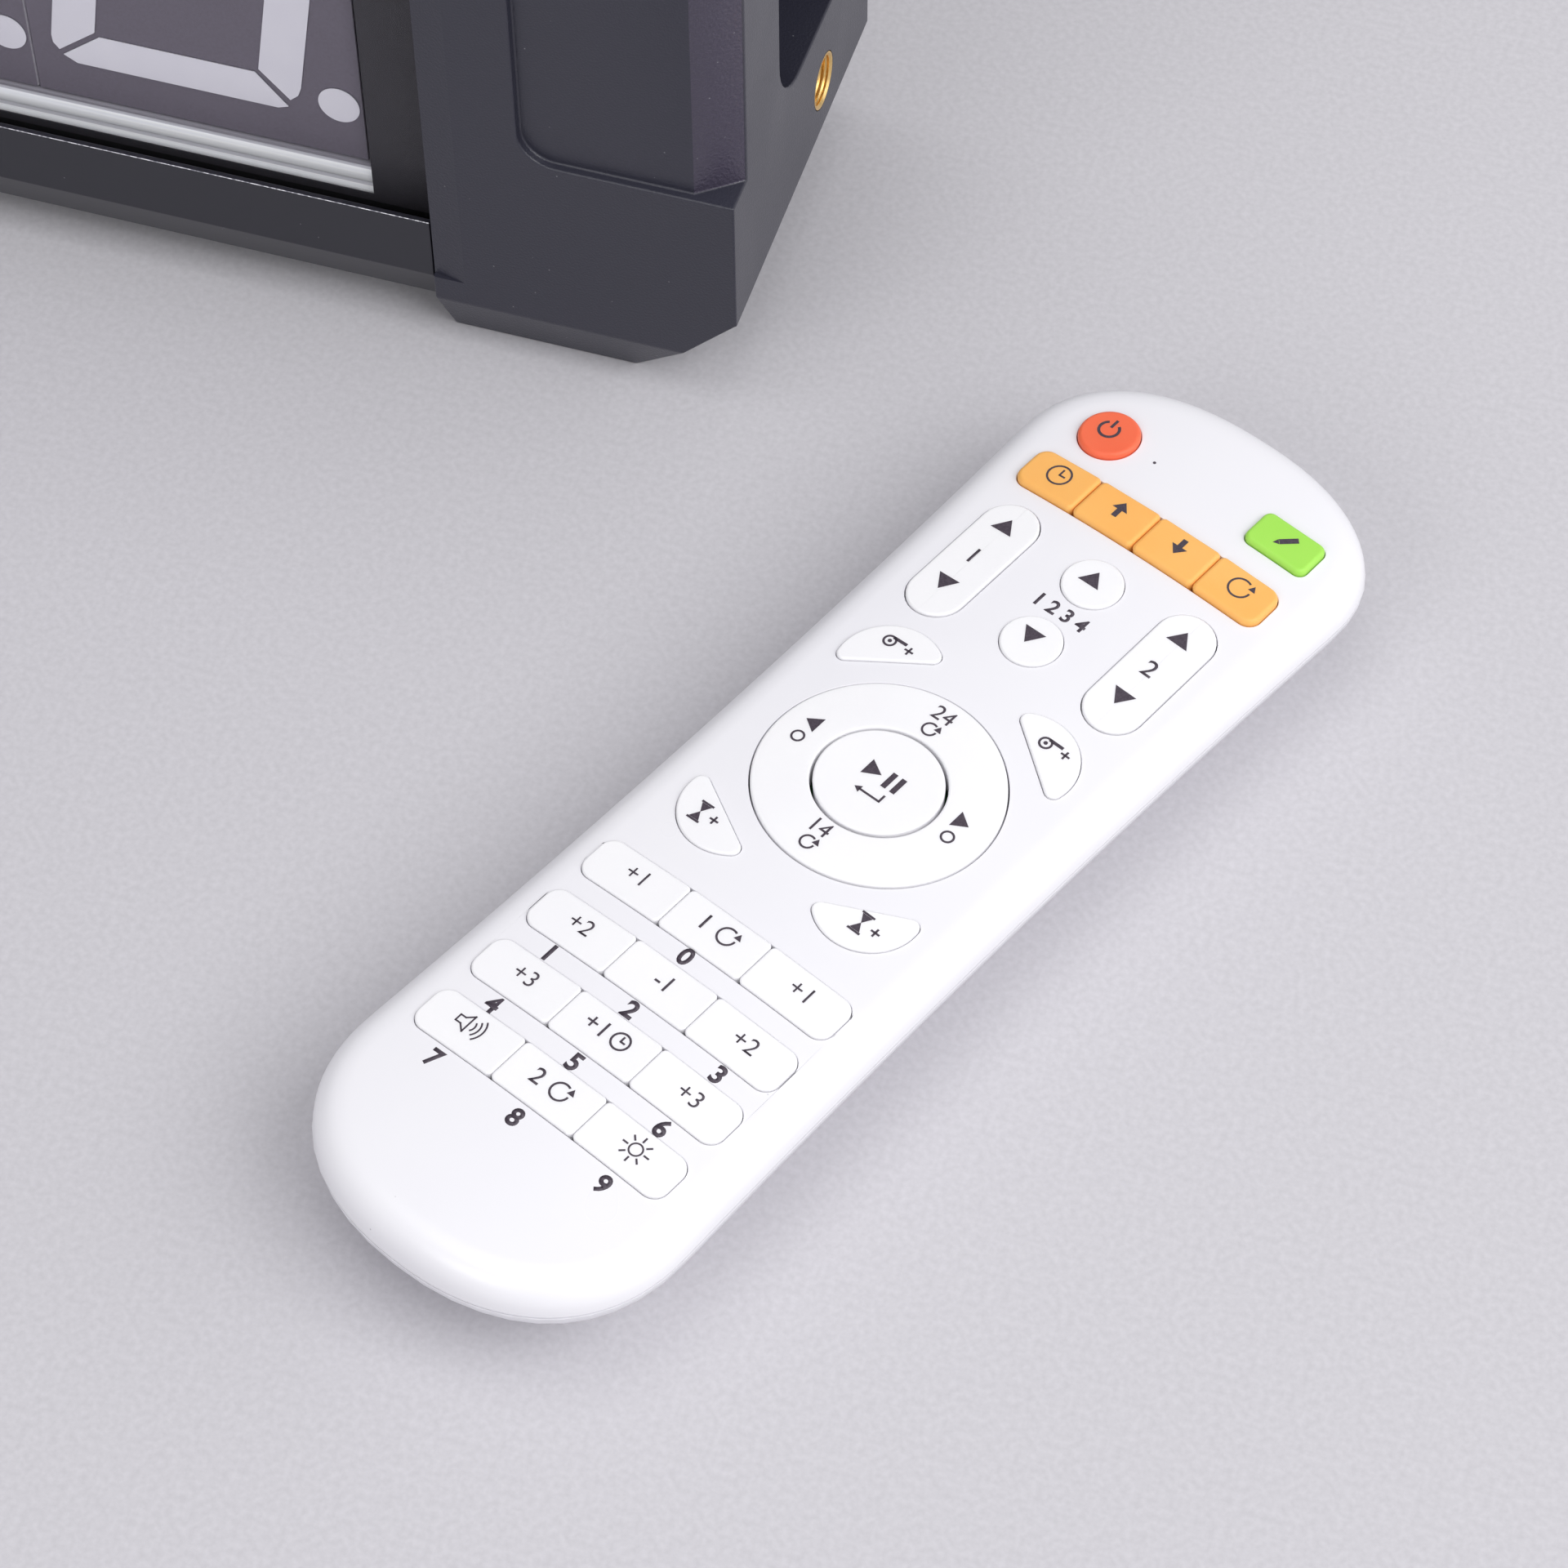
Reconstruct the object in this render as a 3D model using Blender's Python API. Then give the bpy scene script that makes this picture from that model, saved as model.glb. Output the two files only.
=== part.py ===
"""A portable electronic scoreboard and the handheld remote that works it.

Sizes are in millimetres and become metres when a piece is made. +Z is up and the
scoreboard's display faces -Y. Both units stand on Z = 0, and the middle of the pair's
footprint is the origin.
"""
import math

import bmesh
import bpy
from mathutils import Matrix, Vector

MM = 0.001
SEAT_GAP = 0.3        # left between two pieces that touch
REACH = 5.0           # how far a cutter stands past what it cuts

# Where the two units stand: distances from the centre of the remote's ring key
BOARD_SIDE_X = -40.9
BOARD_FRONT_Y = 70.0
REMOTE_TURN = math.radians(-23.5)

# Digit modules: one seven-segment module, and how they are spaced
MODULE_WIDTH = 48.0
MODULE_HEIGHT = 69.8
MODULE_DEPTH = 12.0
MODULE_FACE = 7.0          # how far the digit faces lie behind the caps' front
MODULE_BOTTOM = 24.0
MODULE_SEAM = 0.5
BANK_GAP = 12.0            # between banks, and the colon's strip in the clock
ROW_GAP = 12.4
SIDE_MARGIN = 10.9

# End caps
CAP_WIDTH = 43.1
CAP_DEPTH = 60.0
FOOT_RISE = 8.0
FOOT_SETBACK = 3.3
FOOT_INNER_SETBACK = 1.25
CORNER_CUT = 15.5
CORNER_DRAFT = 1.6         # how much larger the corner's cut is at the back
CAP_WALL = 3.0
INNER_BEVEL_WIDTH = 4.6
INNER_BEVEL_DEPTH = 0.8
INNER_BEVEL_START = 12.0
THUMB_PANEL_INSET = 13.6
THUMB_PANEL_START = 37.5
THUMB_PANEL_DEPTH = 1.3
THUMB_PANEL_RADIUS = 5.0
EDGE_FACET_WIDTH = 5.8
EDGE_FACET_DEPTH = 4.4
GRIP_POST_DEPTH = 20.0
GRIP_SLOT_DEPTH = 32.0
GRIP_SLOT_REACH = 28.0
GRIP_SLOT_START = 36.0
GRIP_SLOT_RADIUS = 8.5
CORNER_STEPS = 8           # steps in the round corners of the slot and the thumb panel
INSERT_RADIUS = 4.1
INSERT_BORE = 3.5
INSERT_LENGTH = 12.0
INSERT_DEPTH_Y = 39.0
INSERT_HEIGHT = 24.6
INSERT_FIT = 0.15
INSERT_STEPS = 24

# Rails, window and back
RAIL_FRONT = 1.0
RAIL_LIP_TOP = 21.0
RAIL_LIP_THICKNESS = 0.9
RAIL_FACE_LOW = 11.1
RAIL_UNDERSIDE = 4.9
RAIL_CHAMFER = 2.6
RAIL_SILL = 12.5
RAIL_SILL_DEPTH = 10.5
RAIL_FLOOR = 7.4
RAIL_REAR_LIP = 20.0
WINDOW_FACE = 3.2
WINDOW_THICKNESS = 2.5
PANEL_FACE = 56.0
PANEL_THICKNESS = 2.0
MODULE_RAIL_FACE = 6.7
MODULE_RAIL_WALL = 2.4
MODULE_RAIL_SHELF = 1.2
RIB_COUNT = 2
RIB_HEIGHT = 3.1
RIB_START = 0.5
RIB_HOLLOW = 0.9           # from the rail's face back to where a rib begins
RIB_CREST = 0.48           # from the rail's face out to a rib's crest
RIB_PROFILE = (            # each point: how far down the rib, and how far out, as shares
    (0.0, 0.0), (0.1, 0.22), (0.25, 0.5), (0.45, 0.8), (0.62, 0.97), (0.75, 1.0),
    (0.88, 0.8), (0.97, 0.3),
)

# Electronics in the scoreboard
BOARD_PLATE_THICKNESS = 1.6
BOARD_PLATE_MARGIN = 4.0
CELL_RADIUS = 9.5
CELL_LENGTH = 68.0
PACK_X = -70.0
BUZZER_RADIUS = 18.0
BUZZER_HEIGHT = 14.0
BUZZER_X = 60.0
BUZZER_Z = 62.0
SOUND_SLOT_COUNT = 5
SOUND_SLOT_WIDTH = 2.4
SOUND_SLOT_PITCH = 5.6
SOUND_SLOT_LENGTH = 24.0
SWITCH_INSET = 70.9        # from the right cap's inner face, as the socket's is
SWITCH_Z = 42.0
SWITCH_WIDTH = 13.0
SWITCH_HEIGHT = 20.0
SWITCH_FLANGE = 1.3
SWITCH_FLANGE_RIM = 1.5
SWITCH_REACH = 16.0
ROCKER_WIDTH = 10.0
ROCKER_HEIGHT = 15.2
ROCKER_PIVOT_DEPTH = 2.6
ROCKER_PROUD = 1.6
ROCKER_TILT = math.radians(8.0)
ROCKER_ROOM = 0.7
SOCKET_INSET = 40.9
SOCKET_RADIUS = 4.0
SOCKET_FLANGE_RADIUS = 5.6
SOCKET_BORE = 2.8
SOCKET_PIN = 1.0
SOCKET_REACH = 12.0

# Remote, outside
REMOTE_THICKNESS = 19.0
REMOTE_TOP_Y = 76.9
REMOTE_BOTTOM_Y = -85.6
REMOTE_WAIST = 24.25       # half-width at the narrowest place
REMOTE_WAIST_Y = -10.0
REMOTE_FLARE = 3.2e-4      # how the half-width grows with the distance from the waist, squared
REMOTE_END_TOP = 19.0
REMOTE_END_BOTTOM = 22.0
REMOTE_TOP_POWER = 2.35    # 2 is an ellipse, and more is squarer
REMOTE_BOTTOM_POWER = 2.2
CROWN_RADIUS = 226.0
PARTING = 5.0              # the seam's depth under the top
PARTING_STEP = 0.3         # how far the bottom shell stands out past the top one
REMOTE_WALL = 2.0
BELLY_WALL = 2.4
TOP_EDGE_WIDTH = 4.7       # the rounded edge of the top
BELLY_INSET = 11.6         # how far the flat belly lies inside the outline

# Shares of the width and the depth of each rounded side, from the flat face to the seam
TOP_EDGE = ((1.0, 0.0), (0.68, 0.03), (0.39, 0.15), (0.17, 0.38), (0.045, 0.68), (0.0, 1.0))
BELLY_SIDE = (
    (1.0, 1.0), (0.914, 0.971), (0.836, 0.905), (0.707, 0.774), (0.31, 0.41), (0.155, 0.257),
    (0.069, 0.162), (0.017, 0.08), (0.0, 0.0),
)

# Remote, inside
KEY_BASE = 3.2             # depth of the keys' undersides
KEY_TRAVEL = 0.8
MAT_TOP = 4.3
MAT_THICKNESS = 0.6
PCB_TOP = 5.2
PCB_THICKNESS = 1.2
BOARD_EDGE_ROOM = 1.0
CELL_AAA_RADIUS = 5.2
CELL_AAA_LENGTH = 44.5
CELL_AAA_NUB = 1.0
CELL_AAA_NUB_RADIUS = 1.9
CELL_AAA_PITCH = 10.7
CELL_AAA_CENTRE_Y = -43.75
CONTACT_THICKNESS = 0.4
CONTACT_BUMP = 1.6
CONTACT_ROOM = 2.2
BAY_WALL = 1.8
DOOR_LENGTH = 56.0
DOOR_TOP_Y = -15.7
DOOR_WIDTH = 21.8
DOOR_TONGUE = 1.0
DOOR_THICKNESS = 1.5
DOOR_FACE = 0.7

# Keys: how far they stand up, their edge radius and their room in the shell
WHITE_PROUD = 0.3
COLOUR_PROUD = 0.8
KEY_EDGE = 0.55
KEY_ROOM = 0.3
KEY_COLUMN_X = 14.2
TOP_KEYS_Y = 62.7
POWER_RADIUS = 4.0
EDIT_WIDTH = 9.3
EDIT_HEIGHT = 5.6
EDIT_RADIUS = 1.1
CLOCK_ROW_Y = 52.4
CLOCK_PITCH = 9.62
CLOCK_HEIGHT = 6.6
CLOCK_CORNER = 1.8
CLOCK_INNER_CORNER = 0.7
PILL_WIDTH = 7.9
PILL_LENGTH = 22.0
PILL_Y = 35.1
PERIOD_RADIUS = 3.92
PERIOD_UP_Y = 41.5
PERIOD_DOWN_Y = 29.3
MOON_RADIUS = 6.9
MOON_TIP = 1.0
MOON_CHORD = 1.2           # how far the straight side lies from the arc's centre
FOUL_X = 10.9
FOUL_Y = 14.5
FOUL_TURN = math.radians(125.3)
TIMEOUT_X = 10.8
TIMEOUT_Y = -14.5
TIMEOUT_TURN = math.radians(241.3)
RING_X = 16.0
RING_Y = 15.35
RING_INNER_ROOM = 0.5
WEB_RIM = 1.0
WEB_TOP = 3.8
WEB_THICKNESS = 0.6
START_X = 8.2
START_Y = 7.73
GRID_TOP_Y = -26.9
GRID_PITCH = 9.66
GRID_HEIGHT = 6.4
GRID_HALF_MIDDLE = 6.42
GRID_HALF_WIDTH = 19.5
GRID_CORNER = 1.9
GRID_INNER_CORNER = 0.6

GRID_NAMES = (
    ("key_home_plus_1", "key_timer_1_reset", "key_guest_plus_1"),
    ("key_home_plus_2", "key_minus_1", "key_guest_plus_2"),
    ("key_home_plus_3", "key_plus_1_second", "key_guest_plus_3"),
    ("key_buzzer", "key_timer_2_reset", "key_brightness"),
)
CLOCK_NAMES = ("key_clock", "key_up", "key_down", "key_new_game")

# Colour, roughness and metallic value of each finish
FINISHES = {
    "black_abs": ((0.035, 0.035, 0.04), 0.5, 0.0),
    "black_anodised": ((0.03, 0.03, 0.035), 0.42, 0.6),
    "bright_aluminium": ((0.78, 0.79, 0.8), 0.28, 1.0),
    "window_acrylic": ((0.1, 0.1, 0.11), 0.08, 0.0),
    "digit_face": ((0.11, 0.1, 0.11), 0.45, 0.0),
    "green_board": ((0.03, 0.16, 0.07), 0.45, 0.0),
    "blue_shrink": ((0.03, 0.1, 0.35), 0.35, 0.0),
    "brass": ((0.72, 0.5, 0.2), 0.25, 1.0),
    "white_abs": ((0.86, 0.86, 0.88), 0.25, 0.0),
    "white_silicone": ((0.84, 0.84, 0.86), 0.5, 0.0),
    "orange_silicone": ((0.95, 0.38, 0.08), 0.5, 0.0),
    "red_silicone": ((0.85, 0.09, 0.03), 0.5, 0.0),
    "green_silicone": ((0.3, 0.7, 0.1), 0.5, 0.0),
    "grey_silicone": ((0.4, 0.4, 0.42), 0.6, 0.0),
    "cell_jacket": ((0.08, 0.08, 0.09), 0.35, 0.0),
    "nickel_plate": ((0.7, 0.7, 0.68), 0.3, 1.0),
}


def clear_scene():
    for obj in list(bpy.data.objects):
        bpy.data.objects.remove(obj, do_unlink=True)


def finish_material(name):
    existing = bpy.data.materials.get(name)
    if existing:
        return existing
    colour, roughness, metallic = FINISHES[name]
    material = bpy.data.materials.new(name)
    material.use_nodes = True
    shader = material.node_tree.nodes["Principled BSDF"]
    shader.inputs["Base Color"].default_value = (*colour, 1.0)
    shader.inputs["Roughness"].default_value = roughness
    shader.inputs["Metallic"].default_value = metallic
    return material


def unit(name, place, turn=0.0):
    """An empty that carries one unit's pieces."""
    empty = bpy.data.objects.new(name, None)
    empty.location = Vector(place) * MM
    empty.rotation_euler = (0.0, 0.0, turn)
    bpy.context.collection.objects.link(empty)
    return empty


def piece(name, bm, parent, finish=None, place=(0.0, 0.0, 0.0)):
    """Make an object of a mesh in millimetres. A piece with no finish is a cutter."""
    bmesh.ops.recalc_face_normals(bm, faces=bm.faces)
    bmesh.ops.scale(bm, vec=(MM, MM, MM), verts=bm.verts)
    mesh = bpy.data.meshes.new(name)
    bm.to_mesh(mesh)
    bm.free()
    mesh.shade_smooth()
    mesh.set_sharp_from_angle(angle=math.radians(35.0))
    obj = bpy.data.objects.new(name, mesh)
    obj.location = Vector(place) * MM
    obj.parent = parent
    bpy.context.collection.objects.link(obj)
    if finish:
        mesh.materials.append(finish_material(finish))
    else:
        obj.hide_render = True
        obj.display_type = "WIRE"
    return obj


def combine(obj, other, operation="DIFFERENCE"):
    modifier = obj.modifiers.new(other.name, "BOOLEAN")
    modifier.operation = operation
    modifier.solver = "EXACT"
    modifier.object = other


def cut(obj, name, bm):
    """Cut a shape, given in the object's own frame, out of an object."""
    place = [value / MM for value in obj.location]
    combine(obj, piece(name, bm, obj.parent, place=place))


def rings(bm, loops):
    """Join loops of as many points into one closed skin, with a flat cap on each end."""
    rows = [[bm.verts.new(point) for point in loop] for loop in loops]
    count = len(rows[0])
    for below, above in zip(rows, rows[1:]):
        for i in range(count):
            j = (i + 1) % count
            bm.faces.new((below[i], below[j], above[j], above[i]))
    bm.faces.new(rows[0][::-1])
    bm.faces.new(rows[-1])
    return rows


def tube(bm, loops):
    """Join loops into a closed ring, the last one to the first."""
    rows = [[bm.verts.new(point) for point in loop] for loop in loops]
    count = len(rows[0])
    for k, here in enumerate(rows):
        there = rows[(k + 1) % len(rows)]
        for i in range(count):
            j = (i + 1) % count
            bm.faces.new((here[i], here[j], there[j], there[i]))


def along(axis, outline, level):
    """Points of an outline on the plane where the axis has the given value."""
    if axis == "X":
        return [(level, a, b) for a, b in outline]
    if axis == "Y":
        return [(a, level, b) for a, b in outline]
    return [(a, b, level) for a, b in outline]


def prism(bm, axis, outline, low, high):
    rings(bm, [along(axis, outline, low), along(axis, outline, high)])


def box(bm, low, high):
    outline = [(low[0], low[1]), (high[0], low[1]), (high[0], high[1]), (low[0], high[1])]
    prism(bm, "Z", outline, low[2], high[2])


def new_prism(axis, outline, low, high):
    bm = bmesh.new()
    prism(bm, axis, outline, low, high)
    return bm


def new_box(low, high):
    bm = bmesh.new()
    box(bm, low, high)
    return bm


def arc(cx, cy, rx, ry, start, end, steps):
    points = []
    for i in range(steps + 1):
        angle = start + (end - start) * i / steps
        points.append((cx + rx * math.cos(angle), cy + ry * math.sin(angle)))
    return points


def oval(rx, ry, steps, cx=0.0, cy=0.0):
    return arc(cx, cy, rx, ry, 0.0, math.tau, steps)[:-1]


def rounded(left, right, low, high, radii, steps=3):
    """A rectangle whose corners, from the low left one round, have their own radii."""
    corners = ((left, low, 1, 1), (right, low, -1, 1), (right, high, -1, -1), (left, high, 1, -1))
    points = []
    for k, (x, y, sx, sy) in enumerate(corners):
        r = radii[k]
        start = math.pi + k * math.pi / 2
        points += arc(x + sx * r, y + sy * r, r, r, start, start + math.pi / 2, steps)
    return points


def lathe(bm, axis, profile, steps, centre=(0.0, 0.0)):
    """Turn a profile of (radius, level) about an axis. Its first and last radius is 0."""
    loops = [along(axis, oval(r, r, steps, *centre), level) for r, level in profile[1:-1]]
    rings(bm, loops)


# Scoreboard

CLOCK_BANK = 4 * MODULE_WIDTH + BANK_GAP
PAIR_BANK = 2 * MODULE_WIDTH
BOARD_HEIGHT = 2 * (MODULE_BOTTOM + MODULE_HEIGHT) + ROW_GAP
OPENING = 2 * SIDE_MARGIN + 2 * PAIR_BANK + 2 * BANK_GAP + CLOCK_BANK
BOARD_WIDTH = OPENING + 2 * CAP_WIDTH
UPPER_ROW = BOARD_HEIGHT - MODULE_BOTTOM - MODULE_HEIGHT
SWITCH_X = OPENING / 2 - SWITCH_INSET
SOCKET_X = OPENING / 2 - SOCKET_INSET


def slice_edge(bm, point, normal):
    """Cut off what lies past a plane and close the cut."""
    geometry = bm.verts[:] + bm.edges[:] + bm.faces[:]
    result = bmesh.ops.bisect_plane(
        bm, geom=geometry, plane_co=point, plane_no=normal, clear_outer=True
    )
    rim = [item for item in result["geom_cut"] if isinstance(item, bmesh.types.BMEdge)]
    bmesh.ops.edgeloop_fill(bm, edges=rim)


def end_cap(name, parent, side):
    """A moulded cap that ends the case, stands on the table and is held by its grip slot.

    It is shaped with its inner face at X = 0 and its outer one at CAP_WIDTH, front at Y = 0.
    """
    w, d, h = CAP_WIDTH, CAP_DEPTH, BOARD_HEIGHT
    outline = [
        (FOOT_INNER_SETBACK, 0.0), (w - CORNER_CUT, 0.0), (w, CORNER_CUT),
        (w, h - CORNER_CUT), (w - CORNER_CUT, h), (FOOT_INNER_SETBACK, h),
        (0.0, h - FOOT_RISE), (0.0, FOOT_RISE),
    ]
    body = new_prism("Y", outline, 0.0, d)
    for vert in body.verts:
        if vert.co.y > d / 2 and vert.co.x > w / 2:
            if vert.co.x > w - CORNER_CUT / 2:
                vert.co.z += CORNER_DRAFT if vert.co.z < h / 2 else -CORNER_DRAFT
            else:
                vert.co.x -= CORNER_DRAFT
    for depth, out in ((0.0, -1), (d, 1)):
        for level, up in ((0.0, -1), (h, 1)):
            foot = (0.0, depth - out * FOOT_SETBACK, level)
            slice_edge(body, foot, (0.0, out * FOOT_RISE, up * FOOT_SETBACK))

    bevel_slope = INNER_BEVEL_DEPTH / INNER_BEVEL_WIDTH
    bevel = [
        (-REACH, INNER_BEVEL_DEPTH + REACH * bevel_slope),
        (INNER_BEVEL_WIDTH + REACH, -REACH * bevel_slope),
        (-REACH, -REACH * bevel_slope),
    ]
    panel = rounded(
        THUMB_PANEL_INSET, w + REACH, THUMB_PANEL_START, h - THUMB_PANEL_START,
        (THUMB_PANEL_RADIUS, 1.0, 1.0, THUMB_PANEL_RADIUS), CORNER_STEPS,
    )
    facet_slope = EDGE_FACET_DEPTH / EDGE_FACET_WIDTH
    facet_x = w - EDGE_FACET_WIDTH
    facet = [
        (facet_x - REACH, THUMB_PANEL_DEPTH - REACH * facet_slope),
        (w + REACH, THUMB_PANEL_DEPTH + (EDGE_FACET_WIDTH + REACH) * facet_slope),
        (w + REACH, THUMB_PANEL_DEPTH - REACH * facet_slope),
    ]
    slot_end = GRIP_POST_DEPTH + GRIP_SLOT_DEPTH
    slot = rounded(
        GRIP_POST_DEPTH, slot_end, GRIP_SLOT_START, h - GRIP_SLOT_START,
        (GRIP_SLOT_RADIUS,) * 4, CORNER_STEPS,
    )
    post_low = CORNER_CUT + CAP_WALL
    inner_x = w - GRIP_SLOT_REACH - CAP_WALL
    cuts = {
        "inner_bevel": new_prism("Z", bevel, INNER_BEVEL_START, h - INNER_BEVEL_START),
        "thumb_panel": new_prism("Y", panel, -REACH, THUMB_PANEL_DEPTH),
        "edge_facet": new_prism("Z", facet, THUMB_PANEL_START, h - THUMB_PANEL_START),
        "grip_slot": new_prism("X", slot, w - GRIP_SLOT_REACH, w + REACH),
        "post_hollow": new_box(
            (-REACH, CAP_WALL, post_low),
            (facet_x - CAP_WALL, GRIP_POST_DEPTH - CAP_WALL, h - post_low),
        ),
        "inner_hollow": new_box(
            (-REACH, CAP_WALL, CAP_WALL + 1.0), (inner_x, d - CAP_WALL, h - CAP_WALL - 1.0)
        ),
        "insert_bore": new_prism(
            "X", oval(INSERT_RADIUS + INSERT_FIT, INSERT_RADIUS + INSERT_FIT, INSERT_STEPS,
                      INSERT_DEPTH_Y, INSERT_HEIGHT),
            w - INSERT_LENGTH - SEAT_GAP, w + REACH,
        ),
    }
    place = (side * OPENING / 2, 0.0, 0.0)
    turn = Matrix.Scale(side, 4, (1.0, 0.0, 0.0))
    body.transform(turn)
    cap = piece(name, body, parent, "black_abs", place)
    for label, shape in cuts.items():
        shape.transform(turn)
        cut(cap, f"{name}_{label}", shape)


def threaded_insert(name, parent, side):
    """A brass insert pressed into the cap's side, open through its middle."""
    outer = oval(INSERT_RADIUS, INSERT_RADIUS, INSERT_STEPS, INSERT_DEPTH_Y, INSERT_HEIGHT)
    bore = oval(INSERT_BORE, INSERT_BORE, INSERT_STEPS, INSERT_DEPTH_Y, INSERT_HEIGHT)
    end = side * BOARD_WIDTH / 2
    start = end - side * INSERT_LENGTH
    bm = bmesh.new()
    tube(bm, [along("X", outer, start), along("X", outer, end),
              along("X", bore, end), along("X", bore, start)])
    piece(name, bm, parent, "brass")


def rail_outline():
    """Section of the bottom rail: a lipped front bar, a floor and a low rear lip."""
    lip_back = RAIL_FRONT + RAIL_LIP_THICKNESS
    rear = PANEL_FACE + SEAT_GAP
    return [
        (RAIL_FRONT + RAIL_CHAMFER, RAIL_UNDERSIDE), (rear, RAIL_UNDERSIDE),
        (rear, RAIL_REAR_LIP), (PANEL_FACE - PANEL_THICKNESS, RAIL_REAR_LIP),
        (PANEL_FACE - PANEL_THICKNESS, RAIL_FLOOR), (RAIL_SILL_DEPTH, RAIL_FLOOR),
        (RAIL_SILL_DEPTH, RAIL_SILL), (lip_back, RAIL_SILL), (lip_back, RAIL_LIP_TOP),
        (RAIL_FRONT, RAIL_LIP_TOP), (RAIL_FRONT, RAIL_FACE_LOW),
    ]


def rails(parent):
    half = OPENING / 2 - SEAT_GAP
    low = rail_outline()
    high = [(y, BOARD_HEIGHT - z) for y, z in low]
    piece("bottom_rail", new_prism("X", low, -half, half), parent, "black_anodised")
    piece("top_rail", new_prism("X", high, -half, half), parent, "black_anodised")


def display_window(parent):
    half = OPENING / 2 - SEAT_GAP
    low = RAIL_SILL + SEAT_GAP
    bm = new_box((-half, WINDOW_FACE, low), (half, WINDOW_FACE + WINDOW_THICKNESS, BOARD_HEIGHT - low))
    piece("display_window", bm, parent, "window_acrylic")


def module_rail(parent):
    """The bright ribbed rail under the lower row of digits, with the shelf they stand on."""
    half = OPENING / 2 - 2 * SEAT_GAP
    foot = RAIL_SILL + SEAT_GAP
    top = MODULE_BOTTOM - SEAT_GAP
    back = MODULE_RAIL_FACE + MODULE_RAIL_WALL
    outline = [(back, foot), (back, top - MODULE_RAIL_SHELF)]
    outline += [(MODULE_FACE + MODULE_DEPTH, top - MODULE_RAIL_SHELF)]
    outline += [(MODULE_FACE + MODULE_DEPTH, top), (MODULE_RAIL_FACE, top)]
    outline.append((MODULE_RAIL_FACE, top - RIB_START))
    for k in range(RIB_COUNT):
        rib_top = top - RIB_START - k * RIB_HEIGHT
        for down, out in RIB_PROFILE:
            outline.append((MODULE_RAIL_FACE + RIB_HOLLOW - (RIB_HOLLOW + RIB_CREST) * out,
                            rib_top - RIB_HEIGHT * down))
    outline.append((MODULE_RAIL_FACE, top - RIB_START - RIB_COUNT * RIB_HEIGHT))
    outline.append((MODULE_RAIL_FACE, foot))
    piece("module_rail", new_prism("X", outline, -half, half), parent, "bright_aluminium")


def digit_bank(name, parent, left, bottom, widths):
    """Digit modules that stand side by side, with a fine groove at each joint."""
    face, back = MODULE_FACE, MODULE_FACE + MODULE_DEPTH
    outline = [(left, back), (left, face)]
    x = left
    for width in widths[:-1]:
        x += width
        half_seam = MODULE_SEAM / 2
        outline += [(x - half_seam, face), (x, face + MODULE_SEAM), (x + half_seam, face)]
    right = left + sum(widths)
    outline += [(right, face), (right, back)]
    piece(name, new_prism("Z", outline, bottom, bottom + MODULE_HEIGHT), parent, "digit_face")


def digit_banks(parent):
    """Two rows: score, clock, score above, and fouls, period, shot clock, fouls below."""
    one = MODULE_WIDTH
    left_x = -OPENING / 2 + SIDE_MARGIN
    clock_x = left_x + PAIR_BANK + BANK_GAP
    right_x = clock_x + CLOCK_BANK + BANK_GAP
    shot_x = clock_x + CLOCK_BANK - PAIR_BANK
    digit_bank("home_score_digits", parent, left_x, UPPER_ROW, (one, one))
    digit_bank("game_clock_digits", parent, clock_x, UPPER_ROW, (one, one, BANK_GAP, one, one))
    digit_bank("guest_score_digits", parent, right_x, UPPER_ROW, (one, one))
    digit_bank("home_foul_digits", parent, left_x, MODULE_BOTTOM, (one, one))
    digit_bank("period_digit", parent, clock_x, MODULE_BOTTOM, (one,))
    digit_bank("shot_clock_digits", parent, shot_x, MODULE_BOTTOM, (one, one))
    digit_bank("guest_foul_digits", parent, right_x, MODULE_BOTTOM, (one, one))


def driver_board(parent):
    front = MODULE_FACE + MODULE_DEPTH + SEAT_GAP
    half = OPENING / 2 - BOARD_PLATE_MARGIN
    low = MODULE_BOTTOM
    bm = new_box((-half, front, low), (half, front + BOARD_PLATE_THICKNESS, BOARD_HEIGHT - low))
    piece("driver_board", bm, parent, "green_board")


def battery_pack(parent):
    """Two round cells side by side in one shrink sleeve, on the bottom rail's floor."""
    floor = RAIL_FLOOR + SEAT_GAP
    back = PANEL_FACE - PANEL_THICKNESS - SEAT_GAP
    y = back - CELL_RADIUS
    outline = rounded(
        y - CELL_RADIUS, y + CELL_RADIUS, floor, floor + 4 * CELL_RADIUS,
        (CELL_RADIUS * 0.9,) * 4, 4,
    )
    bm = new_prism("X", outline, PACK_X - CELL_LENGTH / 2, PACK_X + CELL_LENGTH / 2)
    piece("battery_pack", bm, parent, "blue_shrink")


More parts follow.
